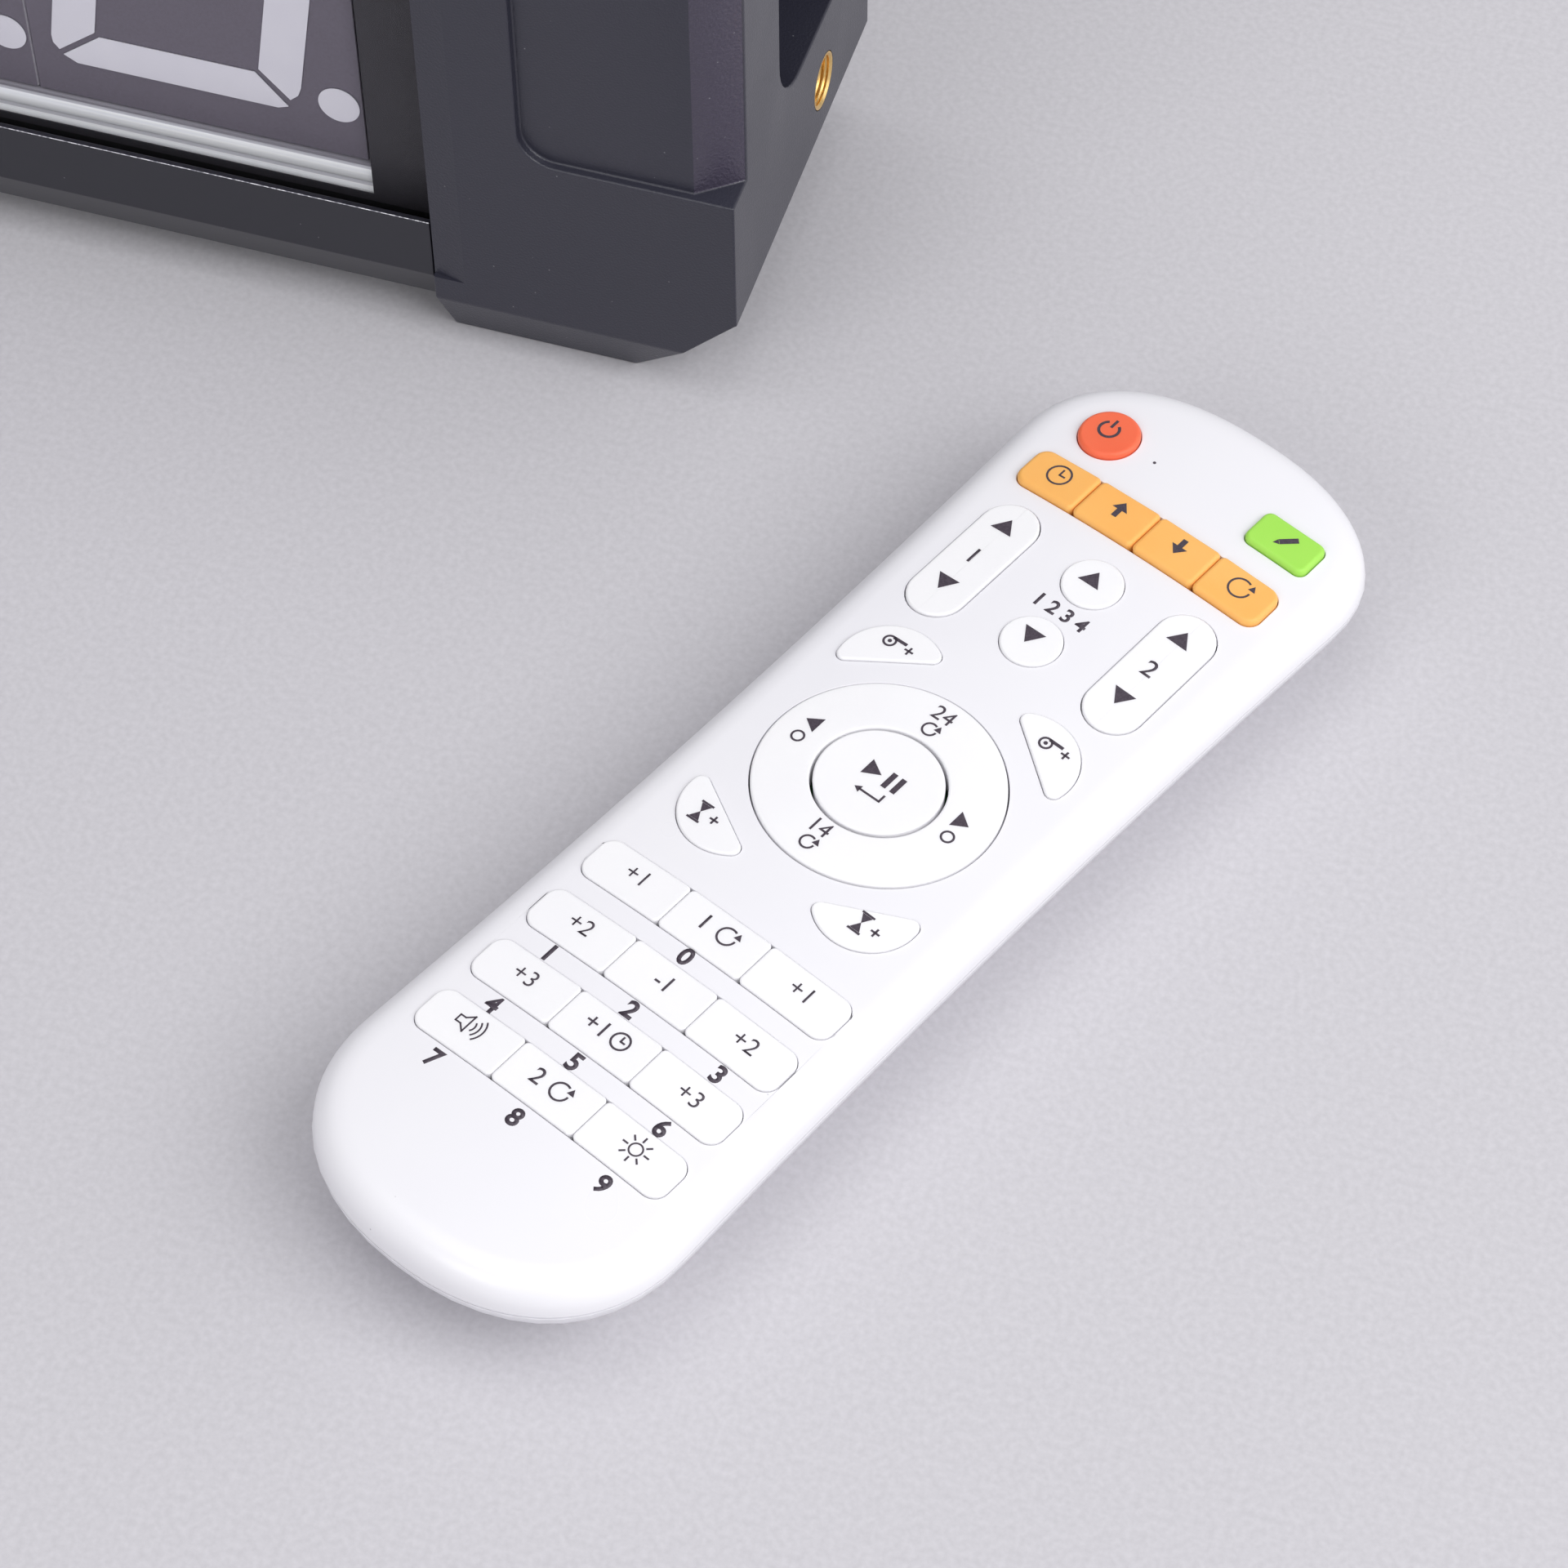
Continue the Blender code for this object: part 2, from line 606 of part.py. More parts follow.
def rear_panel(parent):
    half = OPENING / 2 - SEAT_GAP
    low = RAIL_REAR_LIP + SEAT_GAP
    inner = PANEL_FACE - PANEL_THICKNESS
    panel = piece(
        "rear_panel", new_box((-half, inner, low), (half, PANEL_FACE, BOARD_HEIGHT - low)),
        parent, "black_abs",
    )
    holes = bmesh.new()
    for k in range(SOUND_SLOT_COUNT):
        x = BUZZER_X + (k - (SOUND_SLOT_COUNT - 1) / 2) * SOUND_SLOT_PITCH
        box(holes, (x - SOUND_SLOT_WIDTH / 2, inner - REACH, BUZZER_Z - SOUND_SLOT_LENGTH / 2),
            (x + SOUND_SLOT_WIDTH / 2, PANEL_FACE + REACH, BUZZER_Z + SOUND_SLOT_LENGTH / 2))
    box(holes, (SWITCH_X - SWITCH_WIDTH / 2 - SEAT_GAP, inner - REACH,
                SWITCH_Z - SWITCH_HEIGHT / 2 - SEAT_GAP),
        (SWITCH_X + SWITCH_WIDTH / 2 + SEAT_GAP, PANEL_FACE + REACH,
         SWITCH_Z + SWITCH_HEIGHT / 2 + SEAT_GAP))
    room = SOCKET_RADIUS + SEAT_GAP
    prism(holes, "Y", oval(room, room, 16, SOCKET_X, SWITCH_Z), inner - REACH, PANEL_FACE + REACH)
    cut(panel, "rear_panel_holes", holes)


def buzzer(parent):
    """A round sounder behind the slots of the rear panel."""
    back = PANEL_FACE - PANEL_THICKNESS - SEAT_GAP
    front = back - BUZZER_HEIGHT
    bm = bmesh.new()
    step = BUZZER_HEIGHT * 0.35
    lathe(bm, "Y", [(0, front), (BUZZER_RADIUS * 0.55, front), (BUZZER_RADIUS * 0.55, front + step),
                    (BUZZER_RADIUS, front + step), (BUZZER_RADIUS, back), (0, back)],
          20, (BUZZER_X, BUZZER_Z))
    piece("buzzer", bm, parent, "black_abs")


def power_switch(parent):
    """A rocker switch: its body is pushed through the rear panel and holds the rocker."""
    half_w, half_h = SWITCH_WIDTH / 2, SWITCH_HEIGHT / 2
    seat = PANEL_FACE + SEAT_GAP
    outer = rounded(SWITCH_X - half_w, SWITCH_X + half_w, SWITCH_Z - half_h, SWITCH_Z + half_h,
                    (0.5,) * 4, 1)
    rim = rounded(SWITCH_X - half_w - SWITCH_FLANGE_RIM, SWITCH_X + half_w + SWITCH_FLANGE_RIM,
                  SWITCH_Z - half_h - SWITCH_FLANGE_RIM, SWITCH_Z + half_h + SWITCH_FLANGE_RIM,
                  (1.5,) * 4, 1)
    bm = bmesh.new()
    rings(bm, [along("Y", outer, PANEL_FACE - SWITCH_REACH), along("Y", outer, seat),
               along("Y", rim, seat), along("Y", rim, seat + SWITCH_FLANGE)])
    body = piece("power_switch_body", bm, parent, "black_abs")
    room_x = ROCKER_WIDTH / 2 + SEAT_GAP
    room_z = ROCKER_HEIGHT / 2 + ROCKER_ROOM
    floor = PANEL_FACE - ROCKER_PIVOT_DEPTH - ROCKER_HEIGHT / 2
    cut(body, "power_switch_well", new_box((SWITCH_X - room_x, floor, SWITCH_Z - room_z),
                                           (SWITCH_X + room_x, seat + REACH, SWITCH_Z + room_z)))
    half = ROCKER_HEIGHT / 2
    low, high = -ROCKER_PIVOT_DEPTH, SWITCH_FLANGE + ROCKER_PROUD + ROCKER_PIVOT_DEPTH
    profile = [(low, -half), (low, half), (high, half), (high - 1.2, 0.0), (high, -half)]
    rocker = new_prism("X", profile, -ROCKER_WIDTH / 2, ROCKER_WIDTH / 2)
    rocker.transform(Matrix.Rotation(ROCKER_TILT, 4, "X"))
    piece("power_switch_rocker", rocker, parent, "black_abs",
          (SWITCH_X, PANEL_FACE - ROCKER_PIVOT_DEPTH, SWITCH_Z))


def charge_socket(parent):
    seat = PANEL_FACE + SEAT_GAP
    face = seat + SWITCH_FLANGE
    floor = face - SOCKET_REACH * 0.75
    profile = [
        (0, PANEL_FACE - SOCKET_REACH), (SOCKET_RADIUS, PANEL_FACE - SOCKET_REACH),
        (SOCKET_RADIUS, seat), (SOCKET_FLANGE_RADIUS, seat), (SOCKET_FLANGE_RADIUS, face),
        (SOCKET_BORE, face), (SOCKET_BORE, floor), (SOCKET_PIN, floor), (SOCKET_PIN, face - 1.0),
        (0, face - 1.0),
    ]
    bm = bmesh.new()
    lathe(bm, "Y", profile, 16, (SOCKET_X, SWITCH_Z))
    piece("charge_socket", bm, parent, "black_abs")


def scoreboard(parent):
    for side, word in ((-1, "left"), (1, "right")):
        end_cap(f"end_cap_{word}", parent, side)
        threaded_insert(f"threaded_insert_{word}", parent, side)
    rails(parent)
    display_window(parent)
    module_rail(parent)
    digit_banks(parent)
    driver_board(parent)
    battery_pack(parent)
    rear_panel(parent)
    buzzer(parent)
    power_switch(parent)
    charge_socket(parent)


# Remote

def side_width(y):
    return REMOTE_WAIST + REMOTE_FLARE * (y - REMOTE_WAIST_Y) ** 2


def remote_outline(inset=0.0):
    """The remote seen from above: a gently waisted bar with broad rounded ends."""
    steps = 11
    right = []
    for end, size, squareness, sign in (
        (REMOTE_BOTTOM_Y, REMOTE_END_BOTTOM, REMOTE_BOTTOM_POWER, -1),
        (REMOTE_TOP_Y, REMOTE_END_TOP, REMOTE_TOP_POWER, 1),
    ):
        power = 2.0 / squareness
        quarter = []
        for i in range(steps + 1):
            angle = math.pi / 2 * i / steps
            y = end - sign * size * (1.0 - math.sin(angle) ** power)
            across = math.cos(angle) ** power if i < steps else 0.0
            quarter.append((side_width(y) * across, y))
        right += quarter[::-1] if sign < 0 else quarter
        if sign < 0:
            low, high = quarter[0][1], REMOTE_TOP_Y - REMOTE_END_TOP
            for i in range(1, 8):
                y = low + (high - low) * i / 8
                right.append((side_width(y), y))
    points = right + [(-x, y) for x, y in right[-2:0:-1]]
    count = len(points)
    moved = []
    for i in range(count):
        ax, ay = points[i - 1]
        bx, by = points[(i + 1) % count]
        length = math.hypot(bx - ax, by - ay)
        nx, ny = (by - ay) / length, -(bx - ax) / length
        moved.append((points[i][0] - nx * inset, points[i][1] - ny * inset))
    return moved


def crown(x):
    """How far the arched top lies under its ridge at a distance from the middle."""
    return -x * x / (2.0 * CROWN_RADIUS)


def crown_shell(bm):
    """Arch the flat top and the ceiling under it, in strips that run the remote's length."""
    caps = [face for face in bm.faces if len(face.verts) > 4]
    for x in range(-18, 19, 6):
        geometry = set(caps)
        for face in caps:
            geometry.update(face.edges)
            geometry.update(face.verts)
        bmesh.ops.bisect_plane(
            bm, geom=list(geometry), plane_co=(x, 0.0, 0.0), plane_no=(1.0, 0.0, 0.0)
        )
        caps = [face for face in bm.faces if abs(face.normal.z) > 0.999]
    for vert in bm.verts:
        share = (vert.co.z + PARTING) / PARTING
        vert.co.z += crown(vert.co.x) * share


def remote_top_shell(parent, holes):
    edge = TOP_EDGE_WIDTH - PARTING_STEP
    levels = [(PARTING_STEP + edge * across, -PARTING * down) for across, down in TOP_EDGE]
    ceiling = (PARTING + REMOTE_WALL) / 2
    levels += [(REMOTE_WALL, -PARTING), (REMOTE_WALL + 0.5, -ceiling),
               (TOP_EDGE_WIDTH, -REMOTE_WALL)]
    bm = bmesh.new()
    rings(bm, [along("Z", remote_outline(inset), z) for inset, z in levels])
    bm.normal_update()
    crown_shell(bm)
    shell = piece("remote_top_shell", bm, parent, "white_abs")
    cut(shell, "remote_key_holes", holes)


def drawn_in(section, wall):
    """The inner face of a wall, for the gentle part of its section, from the seam down."""
    points = []
    for k in range(len(section) - 3, 2, -1):
        (ax, az), (bx, bz) = section[k + 1], section[k - 1]
        length = math.hypot(bx - ax, bz - az)
        points.append((section[k][0] + wall * (az - bz) / length,
                       section[k][1] + wall * (bx - ax) / length))
    return points


def remote_bottom_shell(parent):
    seam = -PARTING - SEAT_GAP
    belly = -REMOTE_THICKNESS
    floor = belly + BELLY_WALL
    depth = seam - belly
    outside = [(BELLY_INSET * across, seam - depth * down) for across, down in BELLY_SIDE]
    inside = [(REMOTE_WALL, seam), *drawn_in(outside, REMOTE_WALL), (BELLY_INSET + SEAT_GAP, floor)]
    bm = bmesh.new()
    rings(bm, [along("Z", remote_outline(inset), z) for inset, z in outside + inside])
    shell = piece("remote_bottom_shell", bm, parent, "white_abs")

    half_x, low_y, high_y = bay_size()
    rib_top = -(PCB_TOP + PCB_THICKNESS + SEAT_GAP)
    bay = [(-half_x, low_y), (half_x, low_y), (half_x, high_y), (-half_x, high_y)]
    rim = [(x + math.copysign(BAY_WALL, x), y + (BAY_WALL if y == high_y else -BAY_WALL))
           for x, y in bay]
    box_walls = bmesh.new()
    tube(box_walls, [along("Z", rim, floor - 0.5), along("Z", rim, rib_top),
                     along("Z", bay, rib_top), along("Z", bay, floor - 0.5)])
    combine(shell, piece("battery_bay_walls", box_walls, parent), "UNION")
    cut(shell, "door_channel", door_shape(SEAT_GAP, REMOTE_BOTTOM_Y - REACH, DOOR_TOP_Y + SEAT_GAP,
                                          belly - REACH))
    cut(shell, "bay_opening", new_box((-half_x, low_y, belly - REACH), (half_x, high_y, floor + REACH)))


def bay_size():
    """Half-width and ends of the space for the two cells and their contacts."""
    half_x = (CELL_AAA_PITCH + 2 * CELL_AAA_RADIUS) / 2 + SEAT_GAP
    half_y = CELL_AAA_LENGTH / 2 + CONTACT_ROOM
    return half_x, CELL_AAA_CENTRE_Y - half_y, CELL_AAA_CENTRE_Y + half_y


def door_shape(room, low_y, high_y, face):
    """The battery door's section, wider at the tongues that run in the shell's grooves."""
    narrow = DOOR_WIDTH / 2 + room
    wide = narrow + DOOR_TONGUE
    step = -REMOTE_THICKNESS + DOOR_FACE - room
    top = -REMOTE_THICKNESS + DOOR_THICKNESS + room
    outline = [(-narrow, face), (narrow, face), (narrow, step), (wide, step), (wide, top),
               (-wide, top), (-wide, step), (-narrow, step)]
    return new_prism("Y", outline, low_y, high_y)


def battery_door(parent):
    bm = door_shape(0.0, DOOR_TOP_Y - DOOR_LENGTH, DOOR_TOP_Y, -REMOTE_THICKNESS)
    piece("remote_battery_door", bm, parent, "white_abs")


def cells(parent):
    """Two small round cells, side by side and head to tail, over the door."""
    z = -REMOTE_THICKNESS + DOOR_THICKNESS + SEAT_GAP + CELL_AAA_RADIUS
    half = CELL_AAA_LENGTH / 2
    for k, side in enumerate((-1, 1)):
        tip = side * half
        shoulder = tip - side * CELL_AAA_NUB
        profile = [(0, -tip), (CELL_AAA_RADIUS, -tip), (CELL_AAA_RADIUS, shoulder),
                   (CELL_AAA_NUB_RADIUS, shoulder), (CELL_AAA_NUB_RADIUS, tip), (0, tip)]
        bm = bmesh.new()
        lathe(bm, "Y", profile, 16)
        piece(f"remote_cell_{k + 1}", bm, parent, "cell_jacket",
              (side * CELL_AAA_PITCH / 2, CELL_AAA_CENTRE_Y, z))


def contacts(parent):
    """A sprung plate at each end of the battery bay, with a bump for each cell."""
    half_x, low_y, high_y = bay_size()
    z = -REMOTE_THICKNESS + DOOR_THICKNESS + SEAT_GAP + CELL_AAA_RADIUS
    half_w = half_x - SEAT_GAP
    for word, wall, inward in (("near", low_y, 1), ("far", high_y, -1)):
        back = wall + inward * SEAT_GAP
        front = back + inward * CONTACT_THICKNESS
        bm = new_box((-half_w, min(back, front), z - 4.0), (half_w, max(back, front), z + 4.0))
        plate = piece(f"remote_contact_{word}", bm, parent, "nickel_plate")
        bumps = bmesh.new()
        for side in (-1, 1):
            lathe(bumps, "Y", [(0, back + inward * 0.1), (2.6, back + inward * 0.1),
                               (1.2, back + inward * CONTACT_BUMP), (0, back + inward * CONTACT_BUMP)],
                  12, (side * CELL_AAA_PITCH / 2, z))
        combine(plate, piece(f"contact_bumps_{word}", bumps, parent), "UNION")


def remote_boards(parent):
    """The printed board, and over it the rubber mat that springs the keys back."""
    inset = REMOTE_WALL + BOARD_EDGE_ROOM
    outline = remote_outline(inset)[::2]
    bm = new_prism("Z", outline, -PCB_TOP - PCB_THICKNESS, -PCB_TOP)
    piece("remote_circuit_board", bm, parent, "green_board")
    mat = piece("remote_keypad_mat", new_prism("Z", outline, -MAT_TOP - MAT_THICKNESS, -MAT_TOP),
                parent, "grey_silicone")
    room_x, room_y = RING_X - WEB_RIM + 2 * SEAT_GAP, RING_Y - WEB_RIM + 2 * SEAT_GAP
    cut(mat, "mat_ring_hole", new_prism("Z", oval(room_x, room_y, 24), -PCB_TOP - REACH, REACH))


def moon(grow):
    """A half-moon with rounded tips. Its arc bulges along +X and its straight side faces -X."""
    radius = MOON_RADIUS + grow
    chord = MOON_CHORD - grow
    tip = MOON_TIP + grow
    centre_x = chord + tip
    centre_y = math.sqrt((radius - tip) ** 2 - centre_x ** 2)
    lean = math.atan2(centre_y, centre_x)
    points = arc(centre_x, -centre_y, tip, tip, -math.pi, -lean, 3)
    points += arc(0.0, 0.0, radius, radius, -lean, lean, 10)[1:-1]
    points += arc(centre_x, centre_y, tip, tip, lean, math.pi, 3)
    return points


def key_shapes():
    """Each key: name, outline for a given growth, place on the top, height and finish."""
    shapes = [
        ("key_power", lambda g: oval(POWER_RADIUS + g, POWER_RADIUS + g, 20),
         (-KEY_COLUMN_X, TOP_KEYS_Y), COLOUR_PROUD, "red_silicone"),
        ("key_edit", lambda g: rounded(-EDIT_WIDTH / 2 - g, EDIT_WIDTH / 2 + g, -EDIT_HEIGHT / 2 - g,
                                       EDIT_HEIGHT / 2 + g, (EDIT_RADIUS + g,) * 4),
         (KEY_COLUMN_X, TOP_KEYS_Y), COLOUR_PROUD, "green_silicone"),
        ("key_period_up", lambda g: oval(PERIOD_RADIUS + g, PERIOD_RADIUS + g, 20),
         (0.0, PERIOD_UP_Y), WHITE_PROUD, "white_silicone"),
        ("key_period_down", lambda g: oval(PERIOD_RADIUS + g, PERIOD_RADIUS + g, 20),
         (0.0, PERIOD_DOWN_Y), WHITE_PROUD, "white_silicone"),
        ("key_start_stop", lambda g: oval(START_X + g, START_Y + g, 28),
         (0.0, 0.0), WHITE_PROUD, "white_silicone"),
    ]
    for side, word in ((-1, "home"), (1, "guest")):
        pill_end = PILL_WIDTH / 2
        shapes.append((
            f"key_{word}_score",
            lambda g: rounded(-pill_end - g, pill_end + g, -PILL_LENGTH / 2 - g, PILL_LENGTH / 2 + g,
                              (pill_end + g - 0.01,) * 4, 5),
            (side * KEY_COLUMN_X, PILL_Y), WHITE_PROUD, "white_silicone"))
        for label, x, y, turn in (("foul", FOUL_X, FOUL_Y, FOUL_TURN),
                                  ("timeout", TIMEOUT_X, TIMEOUT_Y, TIMEOUT_TURN)):
            def half_moon(g, side=side, turn=turn):
                cos, sin = math.cos(turn), math.sin(turn)
                points = [(a * cos - b * sin, a * sin + b * cos) for a, b in moon(g)]
                return points if side < 0 else [(-a, b) for a, b in points]
            shapes.append((f"key_{word}_{label}", half_moon, (side * x, y), WHITE_PROUD,
                           "white_silicone"))
    return shapes


def row_shapes(names, edges, low, high, outer, inner):
    """Keys that stand side by side in one opening, with rounder corners on the outside."""
    shapes = []
    for k, name in enumerate(names):
        left = edges[k] + (KEY_ROOM / 2 if k else 0.0)
        right = edges[k + 1] - (KEY_ROOM / 2 if k < len(names) - 1 else 0.0)
        left_r = inner if k else outer
        right_r = inner if k < len(names) - 1 else outer
        centre = ((left + right) / 2, (low + high) / 2)
        outline = rounded(left - centre[0], right - centre[0], low - centre[1], high - centre[1],
                          (left_r, right_r, right_r, left_r))
        shapes.append((name, outline, centre))
    return shapes


def inset_outline(points, inset):
    """Draw an outline in by the same distance all round."""
    count = len(points)
    moved = []
    for i in range(count):
        ax, ay = points[i - 1]
        bx, by = points[(i + 1) % count]
        length = math.hypot(bx - ax, by - ay)
        moved.append((points[i][0] - (by - ay) / length * inset,
                      points[i][1] + (bx - ax) / length * inset))
    return moved


def oriented(points):
    """The same outline, counter-clockwise."""
    area = sum(a[0] * b[1] - b[0] * a[1] for a, b in zip(points, points[1:] + points[:1]))
    return points if area > 0 else points[::-1]


def key(name, outline, place, proud, finish, parent):
    """One key: straight sides, a rounded edge, and a top that follows the remote's arch."""
    outline = oriented(outline)
    loops = [[(x, y, -KEY_BASE) for x, y in outline]]
    for angle in (0.0, math.pi / 4, math.pi / 2):
        inset = KEY_EDGE * (1.0 - math.cos(angle))
        drop = KEY_EDGE * (1.0 - math.sin(angle))
        loops.append([(x, y, proud - drop + crown(x + place[0]))
                      for x, y in inset_outline(outline, inset)])
    bm = bmesh.new()
    rings(bm, loops)
    piece(name, bm, parent, finish, (*place, 0.0))


def ring_key(parent):
    """The ring round the start key, and the rubber web under it that lets it rock."""
    steps = 32
    outer = oval(RING_X, RING_Y, steps)
    inner_x, inner_y = START_X + RING_INNER_ROOM, START_Y + RING_INNER_ROOM
    inner = oval(inner_x, inner_y, steps)
    loops = [[(x, y, -KEY_BASE + 0.1) for x, y in outer]]
    for angle in (0.0, math.pi / 4, math.pi / 2):
        inset = KEY_EDGE * (1.0 - math.cos(angle))
        drop = KEY_EDGE * (1.0 - math.sin(angle))
        loops.append([(x, y, WHITE_PROUD - drop + crown(x)) for x, y in inset_outline(outer, inset)])
    for angle in (math.pi / 2, 0.0):
        inset = KEY_EDGE * (1.0 - math.cos(angle))
        drop = KEY_EDGE * (1.0 - math.sin(angle))
        loops.append([(x, y, WHITE_PROUD - drop + crown(x)) for x, y in inset_outline(inner, -inset)])
    loops.append([(x, y, -KEY_BASE + 0.1) for x, y in inner])
    bm = bmesh.new()
    tube(bm, loops)
    piece("key_ring", bm, parent, "white_silicone")

    web_outer = oval(RING_X - WEB_RIM, RING_Y - WEB_RIM, steps)
    web_inner = oval(inner_x + WEB_RIM, inner_y + WEB_RIM, steps)
    bm = bmesh.new()
    low, high = -WEB_TOP - WEB_THICKNESS, -WEB_TOP
    tube(bm, [along("Z", web_outer, low), along("Z", web_outer, high),
              along("Z", web_inner, high), along("Z", web_inner, low)])
    piece("key_ring_web", bm, parent, "grey_silicone")


def keys(parent):
    """Make every key, and return the shape that cuts their openings in the shell."""
    holes = bmesh.new()
    low, high = -PARTING - REACH, REACH

    def opening(outline, place=(0.0, 0.0)):
        prism(holes, "Z", [(x + place[0], y + place[1]) for x, y in oriented(outline)], low, high)

    for name, outline, place, proud, finish in key_shapes():
        key(name, outline(0.0), place, proud, finish, parent)
        if name != "key_start_stop":
            opening(outline(KEY_ROOM), place)
    ring_key(parent)
    opening(oval(RING_X + KEY_ROOM, RING_Y + KEY_ROOM, 32))

    half = len(CLOCK_NAMES) / 2
    edges = [CLOCK_PITCH * (k - half) for k in range(len(CLOCK_NAMES) + 1)]
    row_low, row_high = CLOCK_ROW_Y - CLOCK_HEIGHT / 2, CLOCK_ROW_Y + CLOCK_HEIGHT / 2
    for name, outline, place in row_shapes(CLOCK_NAMES, edges, row_low, row_high, CLOCK_CORNER,
                                           CLOCK_INNER_CORNER):
        key(name, outline, place, COLOUR_PROUD, "orange_silicone", parent)
    opening(rounded(edges[0] - KEY_ROOM, edges[-1] + KEY_ROOM, row_low - KEY_ROOM,
                    row_high + KEY_ROOM, (CLOCK_CORNER + KEY_ROOM,) * 4))

    edges = (-GRID_HALF_WIDTH, -GRID_HALF_MIDDLE, GRID_HALF_MIDDLE, GRID_HALF_WIDTH)
    for row, names in enumerate(GRID_NAMES):
        row_high = GRID_TOP_Y - row * GRID_PITCH
        row_low = row_high - GRID_HEIGHT
        for name, outline, place in row_shapes(names, edges, row_low, row_high, GRID_CORNER,
                                               GRID_INNER_CORNER):
            key(name, outline, place, WHITE_PROUD, "white_silicone", parent)
        opening(rounded(edges[0] - KEY_ROOM, edges[-1] + KEY_ROOM, row_low - KEY_ROOM,
                        row_high + KEY_ROOM, (GRID_CORNER + KEY_ROOM,) * 4))
    return holes


def remote(parent):
    holes = keys(parent)
    remote_top_shell(parent, holes)
    remote_bottom_shell(parent)
    battery_door(parent)
    cells(parent)
    contacts(parent)
    remote_boards(parent)


def footprint():
    """Lowest and highest X and Y of the pair, seen from the ring key's centre."""
    cos, sin = math.cos(REMOTE_TURN), math.sin(REMOTE_TURN)
    points = [(x * cos - y * sin, x * sin + y * cos) for x, y in remote_outline()]
    points.append((BOARD_SIDE_X - BOARD_WIDTH, BOARD_FRONT_Y))
    points.append((BOARD_SIDE_X, BOARD_FRONT_Y + CAP_DEPTH))
    xs, ys = zip(*points)
    return min(xs), max(xs), min(ys), max(ys)


def build():
    clear_scene()
    low_x, high_x, low_y, high_y = footprint()
    middle_x, middle_y = (low_x + high_x) / 2, (low_y + high_y) / 2
    board_x = BOARD_SIDE_X - BOARD_WIDTH / 2 - middle_x
    scoreboard(unit("scoreboard", (board_x, BOARD_FRONT_Y - middle_y, 0.0)))
    remote(unit("remote", (-middle_x, -middle_y, REMOTE_THICKNESS), REMOTE_TURN))


build()
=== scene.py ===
"""The looks of a portable electronic scoreboard and of the handheld remote that works it.

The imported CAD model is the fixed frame. The sections follow the two units as they are put
together. Shapes are made in millimetres in a unit's own frame, and settle() puts them in place.
"""
import math

import bmesh
import bpy
from mathutils import Matrix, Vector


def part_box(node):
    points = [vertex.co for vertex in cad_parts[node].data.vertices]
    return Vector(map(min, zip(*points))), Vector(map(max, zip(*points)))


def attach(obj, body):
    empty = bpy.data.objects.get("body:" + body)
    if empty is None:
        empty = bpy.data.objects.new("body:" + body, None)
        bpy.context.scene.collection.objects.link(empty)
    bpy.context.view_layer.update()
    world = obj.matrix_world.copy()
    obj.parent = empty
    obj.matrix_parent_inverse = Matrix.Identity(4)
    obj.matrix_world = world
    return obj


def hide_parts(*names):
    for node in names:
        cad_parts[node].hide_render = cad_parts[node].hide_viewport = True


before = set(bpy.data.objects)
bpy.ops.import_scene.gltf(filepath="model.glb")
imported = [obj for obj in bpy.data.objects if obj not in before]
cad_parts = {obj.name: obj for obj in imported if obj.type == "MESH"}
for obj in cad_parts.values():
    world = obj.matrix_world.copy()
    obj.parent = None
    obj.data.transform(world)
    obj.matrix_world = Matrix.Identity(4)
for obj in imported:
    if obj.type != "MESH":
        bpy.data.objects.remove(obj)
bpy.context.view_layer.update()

MM = 0.001


# Camera
# It looks down over the near end of the remote, from the right of the scoreboard's corner,
# through a long lens.

CAMERA_PLACE = (0.356433, -0.356144, 0.467409)
CAMERA_AXES = (
    (0.95342947, 0.30152256, -0.00750944),
    (-0.234518, 0.75675433, 0.61018373),
    (0.18966697, -0.58000605, 0.79222435),
)
CAMERA_LENS = 106.79

bpy.context.scene.view_settings.view_transform = "Standard"
bpy.ops.object.camera_add()
camera = bpy.context.object
camera.name = "photo_camera"
camera.data.lens = CAMERA_LENS
camera.data.sensor_width = 36.0
camera.matrix_world = (
    Matrix.Translation(CAMERA_PLACE) @ Matrix(CAMERA_AXES).transposed().to_4x4()
)
bpy.context.scene.camera = camera


# Table
# A sheet of pale grey backdrop paper, laid flat and seen very close. Its pulp gives it a soft
# fine mottle.

PAPER_COLOUR = "C9C7CC"
PAPER_SIZE = 8.0
PAPER_SHADES = ("C4C2C7", "CECCD1")
PAPER_DROP = 0.05 * MM     # it lies this far under the pieces, so that no faces coincide
PULP_GRAIN = 0.9 * MM
PULP_HEIGHT = 0.05 * MM


def linear(code):
    """The linear values of an sRGB colour in hex."""
    parts = [int(code[k:k + 2], 16) / 255 for k in (0, 2, 4)]
    return (*[p / 12.92 if p <= 0.04045 else ((p + 0.055) / 1.055) ** 2.4 for p in parts], 1.0)


def add_node(tree, kind, settings, links):
    """Add a node, set its options and sockets, and link its inputs."""
    node = tree.nodes.new(kind)
    for name, value in settings.items():
        if isinstance(name, str) and hasattr(node, name):
            setattr(node, name, value)
        else:
            node.inputs[name].default_value = value
    for name, source in links.items():
        tree.links.new(source, node.inputs[name])
    return node


def start_material(name, colour, roughness, metallic=0.0, ior=1.5):
    """A material with its plain values. Returns it, its node tree, its shader and the place."""
    material = bpy.data.materials.new(name)
    material.use_nodes = True
    tree = material.node_tree
    shader = tree.nodes["Principled BSDF"]
    shader.inputs["Base Color"].default_value = linear(colour)
    shader.inputs["Roughness"].default_value = roughness
    shader.inputs["Metallic"].default_value = metallic
    shader.inputs["IOR"].default_value = ior
    place = add_node(tree, "ShaderNodeTexCoord", {}, {}).outputs["Object"]
    return material, tree, shader, place


